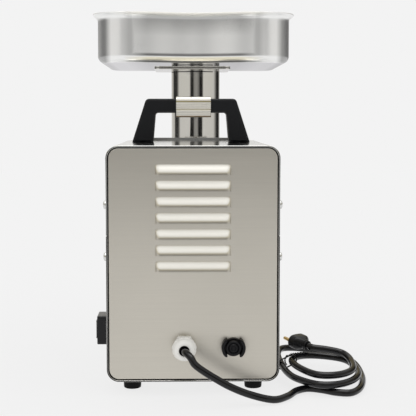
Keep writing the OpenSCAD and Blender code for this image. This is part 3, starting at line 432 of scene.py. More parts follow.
def tray_steel(name, color, roughness):
    """Evenly blasted stainless with fine grain and clouding. Painted shade darkens it in the hollow under the
    rim, along the bottom bend, at its ends and at the corners; painted highlights make it pale on the lip and
    the bend. It is polished on the underside."""
    s = Shader(name)
    grain = s.noise((1800.0, 1800.0, 1800.0), 2.0)
    cloud = s.noise((16.0, 16.0, 16.0), 2.0)
    low, high = span("meat_tray")
    cx, floor, rim = (low[0] + high[0]) / 2, low[2], high[2]

    def up_from(base, fade):
        return s.place("Z", base + fade[0], base + fade[1])

    inside = s.band("X", *TRAY_MIDDLE, cx)
    # Painted shade: a crescent in the hollow under the rim, and dark lines along the bottom bend
    rim_shade = s.product(inside, up_from(rim, TRAY_RIM_SHADE), 0.6)
    bend_shade_lines = s.math("MAXIMUM", s.band("Z", *TRAY_BEND_SHADE_LINE, floor), up_from(floor, TRAY_FOOT_SHADE_LINE))
    painted_shade = s.math("MAXIMUM", rim_shade, s.product(bend_shade_lines, inside))
    for side in (-1, 1):
        # Painted shade at both ends and both corners of the wall
        edge = s.place("X", *(cx + side * x for x in TRAY_EDGE_SHADE))
        edge = s.product(edge, up_from(rim, TRAY_EDGE_SHADE_TOP), 0.8)
        corner = s.band("X", *([side * x for x in fade] for fade in TRAY_CORNER_SHADE), cx)
        corner = s.product(corner, up_from(floor, TRAY_CORNER_SHADE_FOOT), 0.35)
        painted_shade = s.math("MAXIMUM", painted_shade, s.math("MAXIMUM", edge, corner))
    # Painted highlights: a pale warm band on the bottom bend and a pale line on the lip
    bend_highlight = s.product(s.band("Z", *TRAY_BEND_HIGHLIGHT, floor), inside)
    lip_highlight = s.product(up_from(rim, TRAY_LIP_HIGHLIGHT), s.band("X", *TRAY_LIP_HIGHLIGHT_MIDDLE, cx))
    under = s.facing("Z", -0.97, -0.995)
    base = s.blend(s.remap(cloud, 0.0, 0.3), color, shade(color, 0.95))
    base = s.blend(painted_shade, base, shade(color, 0.3))
    base = s.blend(bend_highlight, base, (0.93, 0.88, 0.72))
    base = s.blend(lip_highlight, base, (0.93, 0.91, 0.85))
    metal = s.product(s.remap(under, 0.65, 1.0, 0.0, 1.0), s.remap(lip_highlight, 1.0, 0.15, 0.0, 1.0))
    satin = s.math("ADD", s.remap(grain, roughness - 0.03, roughness + 0.03), s.remap(cloud, -0.03, 0.03))
    s.set(Base_Color=base, Metallic=metal, Roughness=s.product(satin, s.remap(under, 1.0, 0.12, 0.0, 1.0)))
    s.bump(s.product(grain, s.remap(under, 1.0, 0.0, 0.0, 1.0)), 0.004, 0.4)
    return s.material


# Heights on the tray bracket
HOOK_TOP = 303.0
# Below these heights the hook's lip gets painted shade
HOOK_LIP_SHADE = (287.6, 286.4)
ARM_SEAM = 337.0
OLIVE, GREEN_BROWN, BROWN = (0.30, 0.24, 0.03), (0.20, 0.17, 0.07), (0.16, 0.10, 0.04)
# painted reflections, as lines along the hook's bends: height, half width, color
HOOK_REFLECTION_LINES = ((296.8, 0.5, OLIVE), (287.8, 0.4, GREEN_BROWN), (280.6, 0.5, BROWN))
ARM_COLOR, SEAM_BLACK = (0.80, 0.78, 0.72), (0.008, 0.008, 0.008)


def line_across(s, height, half):
    """1 on a line at a height, with soft borders."""
    soft = 0.2
    return s.band("Z", (-half - soft, -half + soft), (half + soft, half - soft), height)


def bracket_steel(name, color):
    """Sheet brushed across on the hook, with painted shade on its lip and painted reflections as coloured
    lines along its bends, and polished on the arm above.
    """
    s = Shader(name)
    grain = s.noise((14.0, 2600.0, 2600.0), 2.0)
    above = s.place("Z", HOOK_TOP - 0.4, HOOK_TOP + 0.4)
    tone = s.blend(s.remap(grain, 0.0, 1.0), shade(color, 0.92), shade(color, 1.05))
    # Painted shade darkens the hook's lip, and painted reflections lie as coloured lines along its bends
    tone = s.blend(s.place("Z", *HOOK_LIP_SHADE), tone, shade(color, 0.5))
    for height, half, tint in HOOK_REFLECTION_LINES:
        tone = s.blend(line_across(s, height, half), tone, tint)
    tone = s.blend(above, tone, ARM_COLOR)
    tone = s.blend(line_across(s, ARM_SEAM, 0.5), tone, SEAM_BLACK)
    s.set(Base_Color=tone, Metallic=s.remap(above, 0.6, 1.0, 0.0, 1.0))
    s.set(Roughness=s.math("ADD", s.remap(above, 0.26, 0.07, 0.0, 1.0), s.remap(grain, 0.0, 0.04)))
    s.bump(s.product(grain, s.remap(above, 1.0, 0.0, 0.0, 1.0)), 0.01, 0.5)
    return s.material


def paint_light_or_shade_facing(material, axis, low, high, color):
    """Paints light or shade on a steel where its surface turns to face along an axis, by changing its tone
    there.
    """
    s = Shader(material)
    socket = s.bsdf.inputs["Base Color"]
    before = socket.links[0].from_socket
    s.put(socket, s.blend(s.facing(axis, low, high), before, color))
    return material


def paint_shade_on_cut_edges(material):
    """Blackens the sheet's cut edge that faces the rear with painted shadow."""
    return paint_light_or_shade_facing(material, "Y", -0.90, -0.97, (0.004, 0.004, 0.004))


def plastic(name, color, roughness, grain, depth, rub=1.25, gloss=0.5):
    """Moulded plastic or rubber: fine spark grain, cloudy gloss, slightly rubbed high spots."""
    s = Shader(name)
    spark = s.noise((grain, grain, grain), 3.0)
    cloud = s.noise((24.0, 24.0, 24.0), 3.0, 0.6)
    rubbed = s.math("MULTIPLY", s.remap(cloud, 0.0, 1.0), 0.6)
    s.set(Base_Color=s.blend(rubbed, color, shade(color, rub)), Metallic=0.0)
    grit = s.remap(spark, roughness - 0.05, roughness + 0.05)
    s.set(Roughness=s.math("ADD", grit, s.remap(cloud, -0.04, 0.05)))
    s.put(s.bsdf.inputs["Specular IOR Level"], gloss)
    s.bump(spark, depth, 0.7)
    return s.material


def brass_metal(name, color):
    """Turned brass or copper with fine tool marks round the part."""
    s = Shader(name)
    turning = s.noise((60.0, 2200.0, 2200.0), 2.0)
    s.set(Base_Color=s.blend(s.remap(turning, 0.0, 1.0), shade(color, 0.85), color), Metallic=1.0,
          Roughness=s.remap(turning, 0.22, 0.36))
    s.bump(turning, 0.006, 0.5)
    return s.material


MATERIALS = {
    # The panel's upward-facing surfaces, such as the louvre hoods' tops, get a painted pale highlight
    "panel": paint_light_or_shade_facing(brushed_steel("Panel_Steel", (0.61, 0.58, 0.515), 0, 0.34, 0.05, (1, 0, 0), 0.6),
                         "Z", 0.05, 0.3, (0.9, 0.88, 0.82)),
    # The shell's and the cover's rear-facing cut edges get painted shadow
    "shell": paint_shade_on_cut_edges(brushed_steel("Shell_Steel", (0.68, 0.67, 0.65), 1, 0.26, 0.05, (0, 1, 0))),
    "cover": paint_shade_on_cut_edges(polished_steel("Cover_Steel", (0.80, 0.80, 0.78), 0.10)),
    "mirror": polished_steel("Polished_Steel", (0.82, 0.80, 0.75), 0.07),
    "tray": tray_steel("Tray_Steel", (0.93, 0.93, 0.92), 0.32),
    "bracket": bracket_steel("Bracket_Steel", (0.88, 0.85, 0.77)),
    "screw": polished_steel("Screw_Steel", (0.72, 0.72, 0.71), 0.2, 0.0),
    "machined": brushed_steel("Machined_Steel", (0.62, 0.62, 0.61), 1, 0.3, 0.08, None, 0.0),
    "cast": plastic("Cast_Aluminium", (0.55, 0.55, 0.54), 0.4, 700.0, 0.05),
    "gasket": plastic("Gasket_Rubber", (0.004, 0.004, 0.004), 0.6, 900.0, 0.03, gloss=0.1),
    "rubber": plastic("Foot_Rubber", (0.005, 0.005, 0.005), 0.62, 800.0, 0.04, gloss=0.12),
    "handle": plastic("Handle_Plastic", (0.006, 0.0065, 0.008), 0.42, 1100.0, 0.03, gloss=0.25),
    "nylon": plastic("Gland_Nylon", (0.80, 0.79, 0.75), 0.42, 1200.0, 0.012, 0.96),
    "cord": plastic("Cord_Sheath", (0.003, 0.003, 0.004), 0.12, 1400.0, 0.003, gloss=0.36),
    "plug": plastic("Plug_Moulding", (0.005, 0.005, 0.006), 0.32, 1000.0, 0.012, gloss=0.3),
    "tie": plastic("Tie_Sheath", (0.005, 0.005, 0.005), 0.3, 1200.0, 0.01, gloss=0.3),
    "breaker": plastic("Breaker_Plastic", (0.004, 0.004, 0.005), 0.3, 1200.0, 0.01, gloss=0.2),
    "switch": plastic("Switch_Plastic", (0.005, 0.005, 0.006), 0.22, 1200.0, 0.008, gloss=0.3),
    "knob": plastic("Knob_Plastic", (0.006, 0.006, 0.007), 0.4, 900.0, 0.03, gloss=0.25),
    "brass": brass_metal("Plug_Brass", (0.78, 0.56, 0.25)),
    "white": plastic("White_Moulding", (0.78, 0.77, 0.73), 0.45, 900.0, 0.02, 0.95),
    "wire": plastic("Wire_Sheath", (0.05, 0.10, 0.30), 0.35, 1000.0, 0.01),
    "lamination": brushed_steel("Lamination_Stack", (0.22, 0.23, 0.25), 0, 0.5, 0.2),
    "copper": brass_metal("Winding_Copper", (0.55, 0.24, 0.11)),
    "paint": plastic("Black_Paint", (0.03, 0.03, 0.033), 0.4, 500.0, 0.03),
    "gear": brushed_steel("Gear_Steel", (0.45, 0.44, 0.42), 1, 0.35, 0.1),
}


def fillet(points, radii, steps=6):
    """Rounds a polygon's corners, with one radius per point."""
    out = []
    n = len(points)
    for i in range(n):
        a, b, c = (Vector(points[(i + d) % n]) for d in (-1, 0, 1))
        r = radii[i]
        u, v = (a - b).normalized(), (c - b).normalized()
        half = math.acos(max(-1.0, min(1.0, u.dot(v)))) / 2
        back = r / math.tan(half)
        centre = b + (u + v).normalized() * (r / math.sin(half))
        start, end = b + u * back - centre, b + v * back - centre
        a0 = math.atan2(start.y, start.x)
        turn = math.atan2(start.x * end.y - start.y * end.x, start.dot(end))
        turns = [a0 + turn * k / steps for k in range(steps + 1)]
        out += [(centre.x + r * math.cos(angle), centre.y + r * math.sin(angle)) for angle in turns]
    return out


# ---- rear panel ----
PANEL_INSET = 2.8
PANEL_T = 1.2
# The louvres: their spacing, the lowest lip's height, the size of a hood and how its ends and section swell
LOUVRE_COUNT = 7
LOUVRE_PITCH = 16.07
LOUVRE_LOW = 126.2
LOUVRE_W = 75.0
LOUVRE_H = 10.3
LOUVRE_PROUD = 4.4
LOUVRE_END = 5.0
LOUVRE_ROOT = 0.15
LOUVRE_SHEET = 0.95
LOUVRE_BULGE = 1.35


def louvre(lip_z):
    """One pressed hood: it swells out of the panel and ends at an open lip."""
    columns, rows = 40, 12
    rings = []
    for i in range(columns + 1):
        x = LOUVRE_W / 2 * math.sin(math.pi / 2 * (2 * i / columns - 1))
        over = max(0.0, abs(x) - (LOUVRE_W / 2 - LOUVRE_END)) / LOUVRE_END
        swell = math.sqrt(max(0.0, 1 - over * over))
        front, back = [], []
        for j in range(rows + 1):
            v = j / rows
            out = LOUVRE_PROUD * swell * math.sin(math.pi / 2 * v) ** LOUVRE_BULGE
            y = REAR + LOUVRE_ROOT - out - LOUVRE_ROOT * swell
            z = lip_z + LOUVRE_H * (1 - v)
            front.append((x, y, z))
            back.append((x, y + LOUVRE_SHEET, z + 0.12))
        rings.append(front + back[::-1])
    return loft(rings)


def rear_panel():
    """The panel sheet with its gland and breaker holes, and its louvres over their slots."""
    gland, breaker = middle("gland_locknut"), middle("breaker_body")
    gland_hole_r, breaker_hole_r = 8.0, 6.0
    slot_w, slot_h, slot_r, slot_drop = LOUVRE_W - 8, LOUVRE_H - 3.5, 2.0, 1.4
    mid_z = (CASE_LOW[2] + CASE_HIGH[2]) / 2
    outlines = [rounded_rect(CASE_W - 2 * PANEL_INSET, CASE_HIGH[2] - CASE_LOW[2] - 2 * PANEL_INSET,
                             CASE_R - PANEL_INSET, 0, mid_z, 12),
                circle(gland[0], gland[2], gland_hole_r), circle(breaker[0], breaker[2], breaker_hole_r)]
    lips = [LOUVRE_LOW + k * LOUVRE_PITCH for k in range(LOUVRE_COUNT)]
    outlines += [rounded_rect(slot_w, slot_h, slot_r, 0, z + LOUVRE_H / 2 - slot_drop, 3) for z in lips]
    sheet = stand_up(plate(outlines, PANEL_T, 0.35, 3), REAR + PANEL_T / 2)
    mesh = join_meshes([sheet] + [louvre(z) for z in lips])
    finish_mesh("Rear_Panel", mesh, "casing", "panel", "rear_panel", 40.0)


# ---- carry handle ----
# Half widths of the bow at its top and inside its legs, the bar's height and the radii of its corners
HANDLE_TOP = 50.0
HANDLE_INNER_FOOT, HANDLE_INNER_TOP = 42.3, 39.5
HANDLE_BAR = 15.7
HANDLE_OUTER_R, HANDLE_INNER_R, HANDLE_FOOT_R, HANDLE_EDGE_R = 5.0, 3.0, 0.8, 2.6


def carry_handle():
    """A trapezoid bow with two splayed legs and a bar."""
    low, high = span("carry_handle")
    foot, bar_z = (high[0] - low[0]) / 2, high[2] - HANDLE_BAR
    outer = [(-foot, low[2]), (-HANDLE_TOP, high[2]), (HANDLE_TOP, high[2]), (foot, low[2])]
    inner = [(HANDLE_INNER_FOOT, low[2]), (HANDLE_INNER_TOP, bar_z),
             (-HANDLE_INNER_TOP, bar_z), (-HANDLE_INNER_FOOT, low[2])]
    radii = []
    for r in (HANDLE_OUTER_R, HANDLE_INNER_R):
        radii += [HANDLE_FOOT_R, r, r, HANDLE_FOOT_R]
    outline = fillet(outer + inner, radii)
    mesh = stand_up(plate([outline[::-1]], high[1] - low[1], HANDLE_EDGE_R, 3), (low[1] + high[1]) / 2)
    mesh.transform(Matrix.Translation(((low[0] + high[0]) / 2, 0, 0)))
    finish_mesh("Carry_Handle", mesh, "casing", "handle", "carry_handle", 50.0)


# ---- feed tray ----
TRAY_FLARE = 5.6
TRAY_SHEET = 1.2
TRAY_FLOOR_R = 8.0
TRAY_REAR_R = 34.0
TRAY_FRONT_R = 27.0
TRAY_HOLLOW = 12.5
TRAY_HOLLOW_HALF = 70.0
TRAY_HOLE_R = TUBE_R - 2.0
# The rim's outer and inner faces: how far inside the wall's face (minus is out), how far below the rim
RIM_OUTER = [(0, 30), (0, 12), (0, 7.5), (-0.3, 5.6), (-1.1, 3.9), (-2.4, 2.7), (-4, 1.9),
             (0.4 - TRAY_FLARE, 1.5), (0.05 - TRAY_FLARE, 0.9), (0.1 - TRAY_FLARE, 0.35),
             (0.6 - TRAY_FLARE, 0)]
RIM_INNER = [(1.3 - TRAY_FLARE, 0.15), (-3.4, 0.75), (-1.9, 1.7), (-0.3, 3.2), (0.8, 5.6),
             (TRAY_SHEET, 8.5), (TRAY_SHEET, 30)]


def tray_ring(inset, z):
    """The tray's outline, inset by a distance, at one height. The rear wall curves in at its middle."""
    low, high = span("meat_tray")
    cx = (low[0] + high[0]) / 2
    hw = (high[0] - low[0]) / 2 - TRAY_FLARE - inset
    y0, y1 = low[1] + TRAY_FLARE + inset, high[1] - TRAY_FLARE - inset
    rr, rf = TRAY_REAR_R - inset, TRAY_FRONT_R - inset
    flat = hw - rr
    corner_steps, steps = 14, 56
    points = []
    for x, y, r, start in ((flat, y0 + rr, rr, -90), (hw - rf, y1 - rf, rf, 0),
                           (rf - hw, y1 - rf, rf, 90), (-flat, y0 + rr, rr, 180)):
        points += arc(x, y, r, start, start + 90, corner_steps)
    for k in range(1, steps):
        x = -flat + 2 * flat * k / steps
        share = min(1.0, abs(x) / TRAY_HOLLOW_HALF)
        points.append((x, y0 + TRAY_HOLLOW * (math.cos(math.pi * share) + 1) / 2))
    return [(cx + x, y, z) for x, y in points]


def hole_ring(outline, radius, z):
    """Points on the hole that face the outline's points."""
    ring = []
    for x, y, _ in outline:
        a = math.atan2(y - TUBE_Y, x - HEAD_X)
        ring.append((HEAD_X + radius * math.cos(a), TUBE_Y + radius * math.sin(a), z))
    return ring


def meat_tray():
    """Deep tray with a rounded floor bend, a flared rim and a hole for the feed tube."""
    low, high = span("meat_tray")
    floor, top = low[2], high[2]
    r, t = TRAY_FLOOR_R, TRAY_SHEET
    bend = [(1 - math.sin(math.radians(d)), 1 - math.cos(math.radians(d))) for d in range(0, 91, 9)]
    outer = [(r * across, floor + r * up) for across, up in bend]
    outer += [(inset, top - drop) for inset, drop in RIM_OUTER]
    inner = [(inset, top - drop) for inset, drop in RIM_INNER]
    inner += [(t + (r - t) * across, floor + t + (r - t) * up) for across, up in bend[::-1]]
    rings = [tray_ring(inset, z) for inset, z in outer + inner]
    radii = (TRAY_HOLE_R, TRAY_HOLE_R + 6.0)
    below, above = ([hole_ring(rings[0], radius, z) for radius in radii] for z in (floor, floor + t))
    rings = below + rings + above[::-1]
    finish_mesh("Meat_Tray", loft(rings, loop=True), "tray", "tray", "meat_tray", 50.0)


# ---- tray bracket ----
STRAP_T, STRAP_HALF_W, STRAP_BEND = 1.9, 19.25, 4.1
HOOK_FLARE = 4.6
# The hook's face, then its flared lip: how far the lip stands out, at which height
HOOK_PATH = [(0, 292.0), (0, 288.9), (0.25, 287.8), (0.8, 286.6), (HOOK_FLARE, 279.9)]
# The arm's thickness, where it ends round the tube in degrees, and its corners' radius
ARM_T, ARM_LEFT, ARM_RIGHT, ARM_CORNER = 1.8, -68.0, 41.0, 5.5
FLANGE_T, FLANGE_DEPTH, FLANGE_R = 1.9, 90.0, 8.0
ARM_R = TUBE_R + 0.15


def sheet_along(path, thickness, x0, x1, edge=0.4):
    """A bent strip: a path in Y and Z with a thickness, as wide as x0 to x1, with eased edges."""
    rings = []
    for i, (y, z) in enumerate(path):
        a, b = path[max(i - 1, 0)], path[min(i + 1, len(path) - 1)]
        t = Vector((b[0] - a[0], b[1] - a[1])).normalized()
        n = Vector((-t.y, t.x)) * thickness / 2
        left, right = (y + n.x, z + n.y), (y - n.x, z - n.y)
        mid = [(p + q) / 2 for p, q in zip(left, right)]
        ease_left, ease_right = ([p + (m - p) * 0.5 for p, m in zip(face, mid)] for face in (left, right))
        rings.append([(x0 + edge, *left), (x1 - edge, *left), (x1, *ease_left), (x1, *ease_right),
                      (x1 - edge, *right), (x0 + edge, *right), (x0, *ease_right), (x0, *ease_left)])
    return loft(rings)


def bracket_arm(bottom, top):
    """Sheet that hugs the tube, wrapped further round on its left, with its lower corners rounded."""
    ease = math.degrees(ARM_CORNER / ARM_R)
    columns, rows = 44, 24
    rings = []
    for i in range(columns + 1):
        d = ARM_LEFT + (ARM_RIGHT - ARM_LEFT) * i / columns
        a = math.radians(-90 + d)
        edge = max(0.0, ARM_LEFT + ease - d, d - (ARM_RIGHT - ease)) / ease
        low = bottom + ARM_CORNER * (1 - math.sqrt(max(0.0, 1 - edge * edge)))
        heights = [low + (top - low) * j / rows for j in range(rows + 1)]
        outer, inner = ([(HEAD_X + r * math.cos(a), TUBE_Y + r * math.sin(a), z) for z in heights]
                        for r in (ARM_R + ARM_T, ARM_R))
        rings.append(outer + inner[::-1])
    return loft(rings)


def tray_bracket():
    """Strap from the tube to the handle, ending in a hook with a flared lip, with an arm and a flange."""
    low, high = span("tray_bracket")
    middle_x = (low[0] + high[0]) / 2
    strap_z = span("carry_handle")[1][2] + 0.3 + STRAP_T / 2
    hook_y = low[1] + HOOK_FLARE + STRAP_T / 2
    path = [(TUBE_Y - 20, strap_z), (hook_y + STRAP_BEND, strap_z)]
    path += arc(hook_y + STRAP_BEND, strap_z - STRAP_BEND, STRAP_BEND, 90, 180, 8)[1:]
    path += [(hook_y - out, z) for out, z in HOOK_PATH]
    strap = sheet_along(path, STRAP_T, middle_x - STRAP_HALF_W, middle_x + STRAP_HALF_W)
    arm = bracket_arm(strap_z + 0.6, high[2] - 2.0)
    flange_y = high[1] - FLANGE_DEPTH / 2
    flange = plate([rounded_rect(high[0] - low[0], FLANGE_DEPTH, FLANGE_R, middle_x, flange_y),
                    circle(HEAD_X, TUBE_Y, ARM_R, 64)[::-1]], FLANGE_T, 0.4, 3)
    flange.transform(Matrix.Translation((0, 0, high[2] - 1.0)))
    mesh = join_meshes([strap, arm, flange])
    finish_mesh("Tray_Bracket", mesh, "tray", "bracket", "tray_bracket", 40.0)


# ---- cable gland ----
CORD_R = 3.6
# The dome nut's section: radius, distance out from its base
GLAND_RIM = [(8.1, 0.0), (11.6, 0.0), (12.0, 0.4), (12.0, 5.6), (11.7, 6.1), (11.2, 6.3)]
GLAND_DOME = [(11.2, 8.2), (10.9, 9.4), (10.2, 11.0), (9.2, 12.4), (7.9, 13.4), (6.7, 13.8), (5.7, 13.8)]
GLAND_MOUTH = [(5.3, 13.5), (5.2, 13.0), (5.2, 12.4), (7.8, 9.2), (8.1, 8.6)]
# The grip grooves lie outside a radius and below a height
GRIP_R, GRIP_END, GRIP_COUNT, GRIP_DEPTH = 10.5, 6.2, 12, 0.45


def cable_gland():
    """Dome nut with shallow grip grooves round its rim."""
    x, _, z = middle("gland_dome_nut")
    base = span("gland_dome_nut")[1][1]
    section = [(radius, -out) for radius, out in GLAND_RIM + GLAND_DOME + GLAND_MOUTH]
    mesh = revolve(section, (x, base, z), "y", 96)
    for v in mesh.vertices:
        dx, dz = v.co.x - x, v.co.z - z
        radius = math.hypot(dx, dz)
        if radius > GRIP_R and base - v.co.y < GRIP_END:
            dent = GRIP_DEPTH * max(0.0, math.cos(GRIP_COUNT * math.atan2(dz, dx))) ** 4
            v.co.x -= dx / radius * dent
            v.co.z -= dz / radius * dent
    finish_mesh("Gland_Dome_Nut", mesh, "casing", "nylon", "gland_dome_nut", 40.0)


# ---- reset breaker ----
# The guard nut's section: radius, distance out (minus) from the panel
GUARD_BASE = [(6.0, 0.0), (9.2, 0.0), (9.2, -2.6), (8.9, -3.0), (8.6, -2.6), (6.0, -2.6)]
WING_R, WING_INNER_R, WING_GAP, WING_TIP = 12.0, 8.9, 6.2, -9.0
# The button's face from its middle outwards: radius, depth behind its front
BUTTON_FACE = [(1.9, 0.9), (2.3, 0.5), (2.6, 0.0), (3.9, 0.0), (4.3, 0.5), (4.9, 0.9), (5.4, 0.5), (5.7, 0.1),
               (7.2, 0.1), (7.6, 0.5), (7.7, 1.0), (7.7, 4.0), (7.3, 4.3), (3.0, 4.3)]
# A face that runs to its axis stops this far from it
AXIS_R = 0.02


def guard_wing(side, half_h):
    """One wing of the guard, curved round the button: a section, across and out, for each step of height."""
    steps = 24
    reach = math.asin(half_h / WING_R)
    rings = []
    for k in range(steps + 1):
        share = 2 * k / steps - 1
        tip = WING_TIP + max(0.0, abs(share) - 0.8) / 0.2
        h, outer = WING_R * math.sin(reach * share), WING_R * math.cos(reach * share)
        inner = max(WING_GAP, math.sqrt(WING_INNER_R ** 2 - h * h))
        section = [(outer, 0.0), (outer, tip + 0.8), (outer - 0.5, tip),
                   (inner + 0.6, tip), (inner, tip + 0.7), (inner, 0.0)]
        rings.append([(side * across, out, h) for across, out in section])
    return loft(rings)


def reset_breaker():
    """Guard nut with two wings, and the round button between them."""
    x, _, z = middle("breaker_guard")
    low, high = span("breaker_guard")
    wings = [guard_wing(side, (high[2] - low[2]) / 2 - 0.3) for side in (-1, 1)]
    mesh = join_meshes([revolve(GUARD_BASE, (0, 0, 0), "y", 72)] + wings)
    mesh.transform(Matrix.Translation((x, REAR, z)))
    finish_mesh("Breaker_Guard", mesh, "casing", "breaker", "breaker_guard", 35.0)
    low, high = span("reset_button")
    stem = high[1] - low[1]
    profile = [(AXIS_R, BUTTON_FACE[0][1])] + BUTTON_FACE + [(BUTTON_FACE[-1][0], stem), (AXIS_R, stem)]
    mesh = revolve(profile, (x, low[1], z), "y", 64)
    finish_mesh("Reset_Button", mesh, "reset", "breaker", "reset_button", 35.0)


# ---- rocker switch ----
WINDOW_L, WINDOW_H = 19.0, 24.4
ROCKER_HALF = 9.0
ROCKER_END_R = 12.0
ROCKER_CROWN = 1.0
# Turns a plate drawn in X and Y to face sideways
FACE_SIDEWAYS = Matrix(((0, 0, 1, 0), (1, 0, 0, 0), (0, 1, 0, 0), (0, 0, 0, 1)))


def rocker_section(pivot_x, y, z, reach, inset):
    """The rocker's outline across its pivot: a hollow face, then its round ends and back."""
    steps = 24
    ring = []
    for k in range(steps + 1):
        share = 2 * k / steps - 1
        crown = reach - ROCKER_CROWN + ROCKER_CROWN * share ** 2 - inset
        ring.append((pivot_x - crown, y, z + share * ROCKER_HALF))
    end_turns = [math.radians(d) for d in (48, 64, 80, 96)]
    for turns, up in ((end_turns, 1), (end_turns[::-1], -1)):
        ring += [(pivot_x - (ROCKER_END_R - inset) * math.cos(a), y,
                  z + up * (ROCKER_END_R - 0.1 - inset) * math.sin(a)) for a in turns]
    return ring


def rocker_switch():
    """Housing with a window, and the rocker in it, eased at both sides."""
    low, high = span("switch_housing")
    y, z = (low[1] + high[1]) / 2, (low[2] + high[2]) / 2
    mesh = plate([rounded_rect(high[1] - low[1], high[2] - low[2], 2.2, y, z, 6),
                  rounded_rect(WINDOW_L, WINDOW_H, 0.6, y, z, 4)[::-1]], high[0] - low[0], 0.9, 4)
    mesh.transform(Matrix.Translation(((low[0] + high[0]) / 2, 0, 0)) @ FACE_SIDEWAYS)
    finish_mesh("Switch_Housing", mesh, "casing", "switch", "switch_housing", 40.0)
    low, high = span("switch_rocker")
    pivot_x = middle("rocker_pin")[0]
    ease, ease_from, steps = 0.7, 0.86, 12
    rings = []
    for j in range(steps + 1):
        share = 2 * j / steps - 1
        inset = ease * max(0.0, (abs(share) - ease_from) / (1 - ease_from)) ** 2
        y = (low[1] + high[1]) / 2 + share * (high[1] - low[1]) / 2
        rings.append(rocker_section(pivot_x, y, z, pivot_x - low[0], inset))
    finish_mesh("Switch_Rocker", loft(rings), "rocker", "switch", "switch_rocker", 40.0)


# ---- rubber feet ----
FOOT_R = 9.7
FOOT_BORE_R, FOOT_SCREW_R, FOOT_SEAT = 5.6, 2.7, 6.0


def rubber_feet():
    """Four round feet, each with a rolled lower edge and a recess for its screw."""
    low, high = span("rubber_feet")
    top = high[2]
    profile = [(FOOT_BORE_R, 0.5), (5.9, 0.05), (8.0, 0.0), (8.6, 0.35), (8.85, 1.1), (9.2, 6.0),
               (9.55, top - 1.6), (FOOT_R, top - 0.8), (9.6, top - 0.1), (9.2, top),
               (FOOT_SCREW_R, top), (FOOT_SCREW_R, FOOT_SEAT), (FOOT_BORE_R, FOOT_SEAT)]
    columns, rows = ((low[k] + FOOT_R, high[k] - FOOT_R) for k in (0, 1))
    mesh = join_meshes([revolve(profile, (x, y, 0), "z", 48) for x in columns for y in rows])
    finish_mesh("Rubber_Feet", mesh, "casing", "rubber", "rubber_feet", 40.0)


# ---- power cord, tie and plug ----
PLUG_TAIL = Vector((126, REAR + 86, 31))
PLUG_DIR = Vector((-0.55, 0.75, 0.12)).normalized()
# The cord's way from the gland to the plug: sideways, distance from the rear panel, height
LEAD = [(-2.5, -34, 47.4), (1, -37, 42), (8.3, -39, 36.5), (20, -39, 29), (36, -37, 19.5), (56, -33, 10.5),
        (78, -29, 4.6), (93, -16, 4.2), (104, 3, 4.2), (116.5, 12, 4.2), (130, 7, 4.2), (144, -3, 4.2)]
OUTER_LAP = [(159, -4, 4.2), (172, 18, 4.2), (180, 58, 5), (176, 98, 10.5), (152, 116, 15.5), (124, 119, 20),
             (101, 110, 22.5), (93.5, 90, 21), (95, 64, 16.5), (99, 42, 13), (107, 20, 12)]
LOWER_LAP = [(126, -2, 11.9), (148, 0, 11.9), (166, 20, 11.9), (174, 48, 12.8), (167, 76, 16.8),
             (147, 88, 18.5), (122, 84, 20.5), (106.5, 64, 21.5)]
UPPER_LAP = [(108, 38, 20.8), (124, 9, 19.5), (146, 7, 19.4), (164, 26, 19.6), (168, 56, 22), (162, 74, 25.5),
             (146, 78, 28.6)]
GLAND_EXIT = [(0, 18, 0), (0, 0, 0), (0, -14, 0), (0.3, -21, 0), (2.4, -28, -0.3)]


def cord_path():
    """Straight out of the gland, then round the hank and into the plug's tail."""
    x, _, z = middle("gland_dome_nut")
    points = [(x + a, REAR + b, z + c) for a, b, c in GLAND_EXIT]
    points += [(a, REAR + b, c) for a, b, c in LEAD + OUTER_LAP + LOWER_LAP + UPPER_LAP]
    points += [PLUG_TAIL - 7 * PLUG_DIR + Vector((1.2, 0, 0)), PLUG_TAIL]
    return smooth_path(points, 8)


def power_cord():
    """The whole cord as one round sheath."""
    mesh = tube(cord_path(), CORD_R, 24)
    finish_mesh("Power_Cord", mesh, "casing", "cord", "power_cord", 60.0)


TIE_R = 0.6
TIE_STRAND_R, TIE_TWIST_R, TIE_TWIST = 0.45, 0.55, 0.8
# The tie's two loose ends, as steps from the knot
TIE_TAILS = ([(0, 0, 0), (3, -5, 3.5), (8, -12, 6), (15, -22, 9.5)],
             [(0, 0, 0), (-2, -4, 1), (-4, -9, -2.5), (-3, -14, -6)])


def tie_loop(centres, along, up, radius, shift):
    """One turn of wire round both strands of cord, slightly wavy."""
    steps = 12
    loop = []
    for centre, turn in zip(centres, (0, math.pi)):
        for k in range(steps + 1):
            a = turn - math.pi / 2 + math.pi * k / steps
            wave = Vector((0, shift + 0.25 * math.sin(5 * a), 0))
            loop.append(centre + radius * (math.cos(a) * along + math.sin(a) * up) + wave)
    return tube(loop + loop[:1], TIE_R, 10)


def cord_tie():
    """Twist tie: two turns round the two strands, a knot of twisted wire and its two loose ends."""
    low, high = span("cord_tie")
    cy = (low[1] + high[1]) / 2
    upper, lower = Vector((105.9, cy, 21.5)), Vector((95.2, cy, 16.2))
    radius = CORD_R + 0.75 + TIE_R
    along = (upper - lower).normalized()
    up = Vector((-along.z, 0, along.x))
    solids = [tie_loop((upper, lower), along, up, radius, shift) for shift in (-0.8, 0.7)]
    knot = upper + (radius + 0.5) * up - 2 * along + Vector((0, -0.5, 0))
    for tail in TIE_TAILS:
        core = smooth_path([knot + Vector(step) for step in tail], 12)
        for start in (0.0, math.pi):
            turns = [start + TIE_TWIST * i for i in range(len(core))]
            strand = [p + TIE_TWIST_R * Vector((math.cos(a), 0, math.sin(a))) for p, a in zip(core, turns)]
            solids.append(tube(strand, TIE_STRAND_R, 8))
    finish_mesh("Cord_Tie", join_meshes(solids), "casing", "tie", "cord_tie", 60.0)


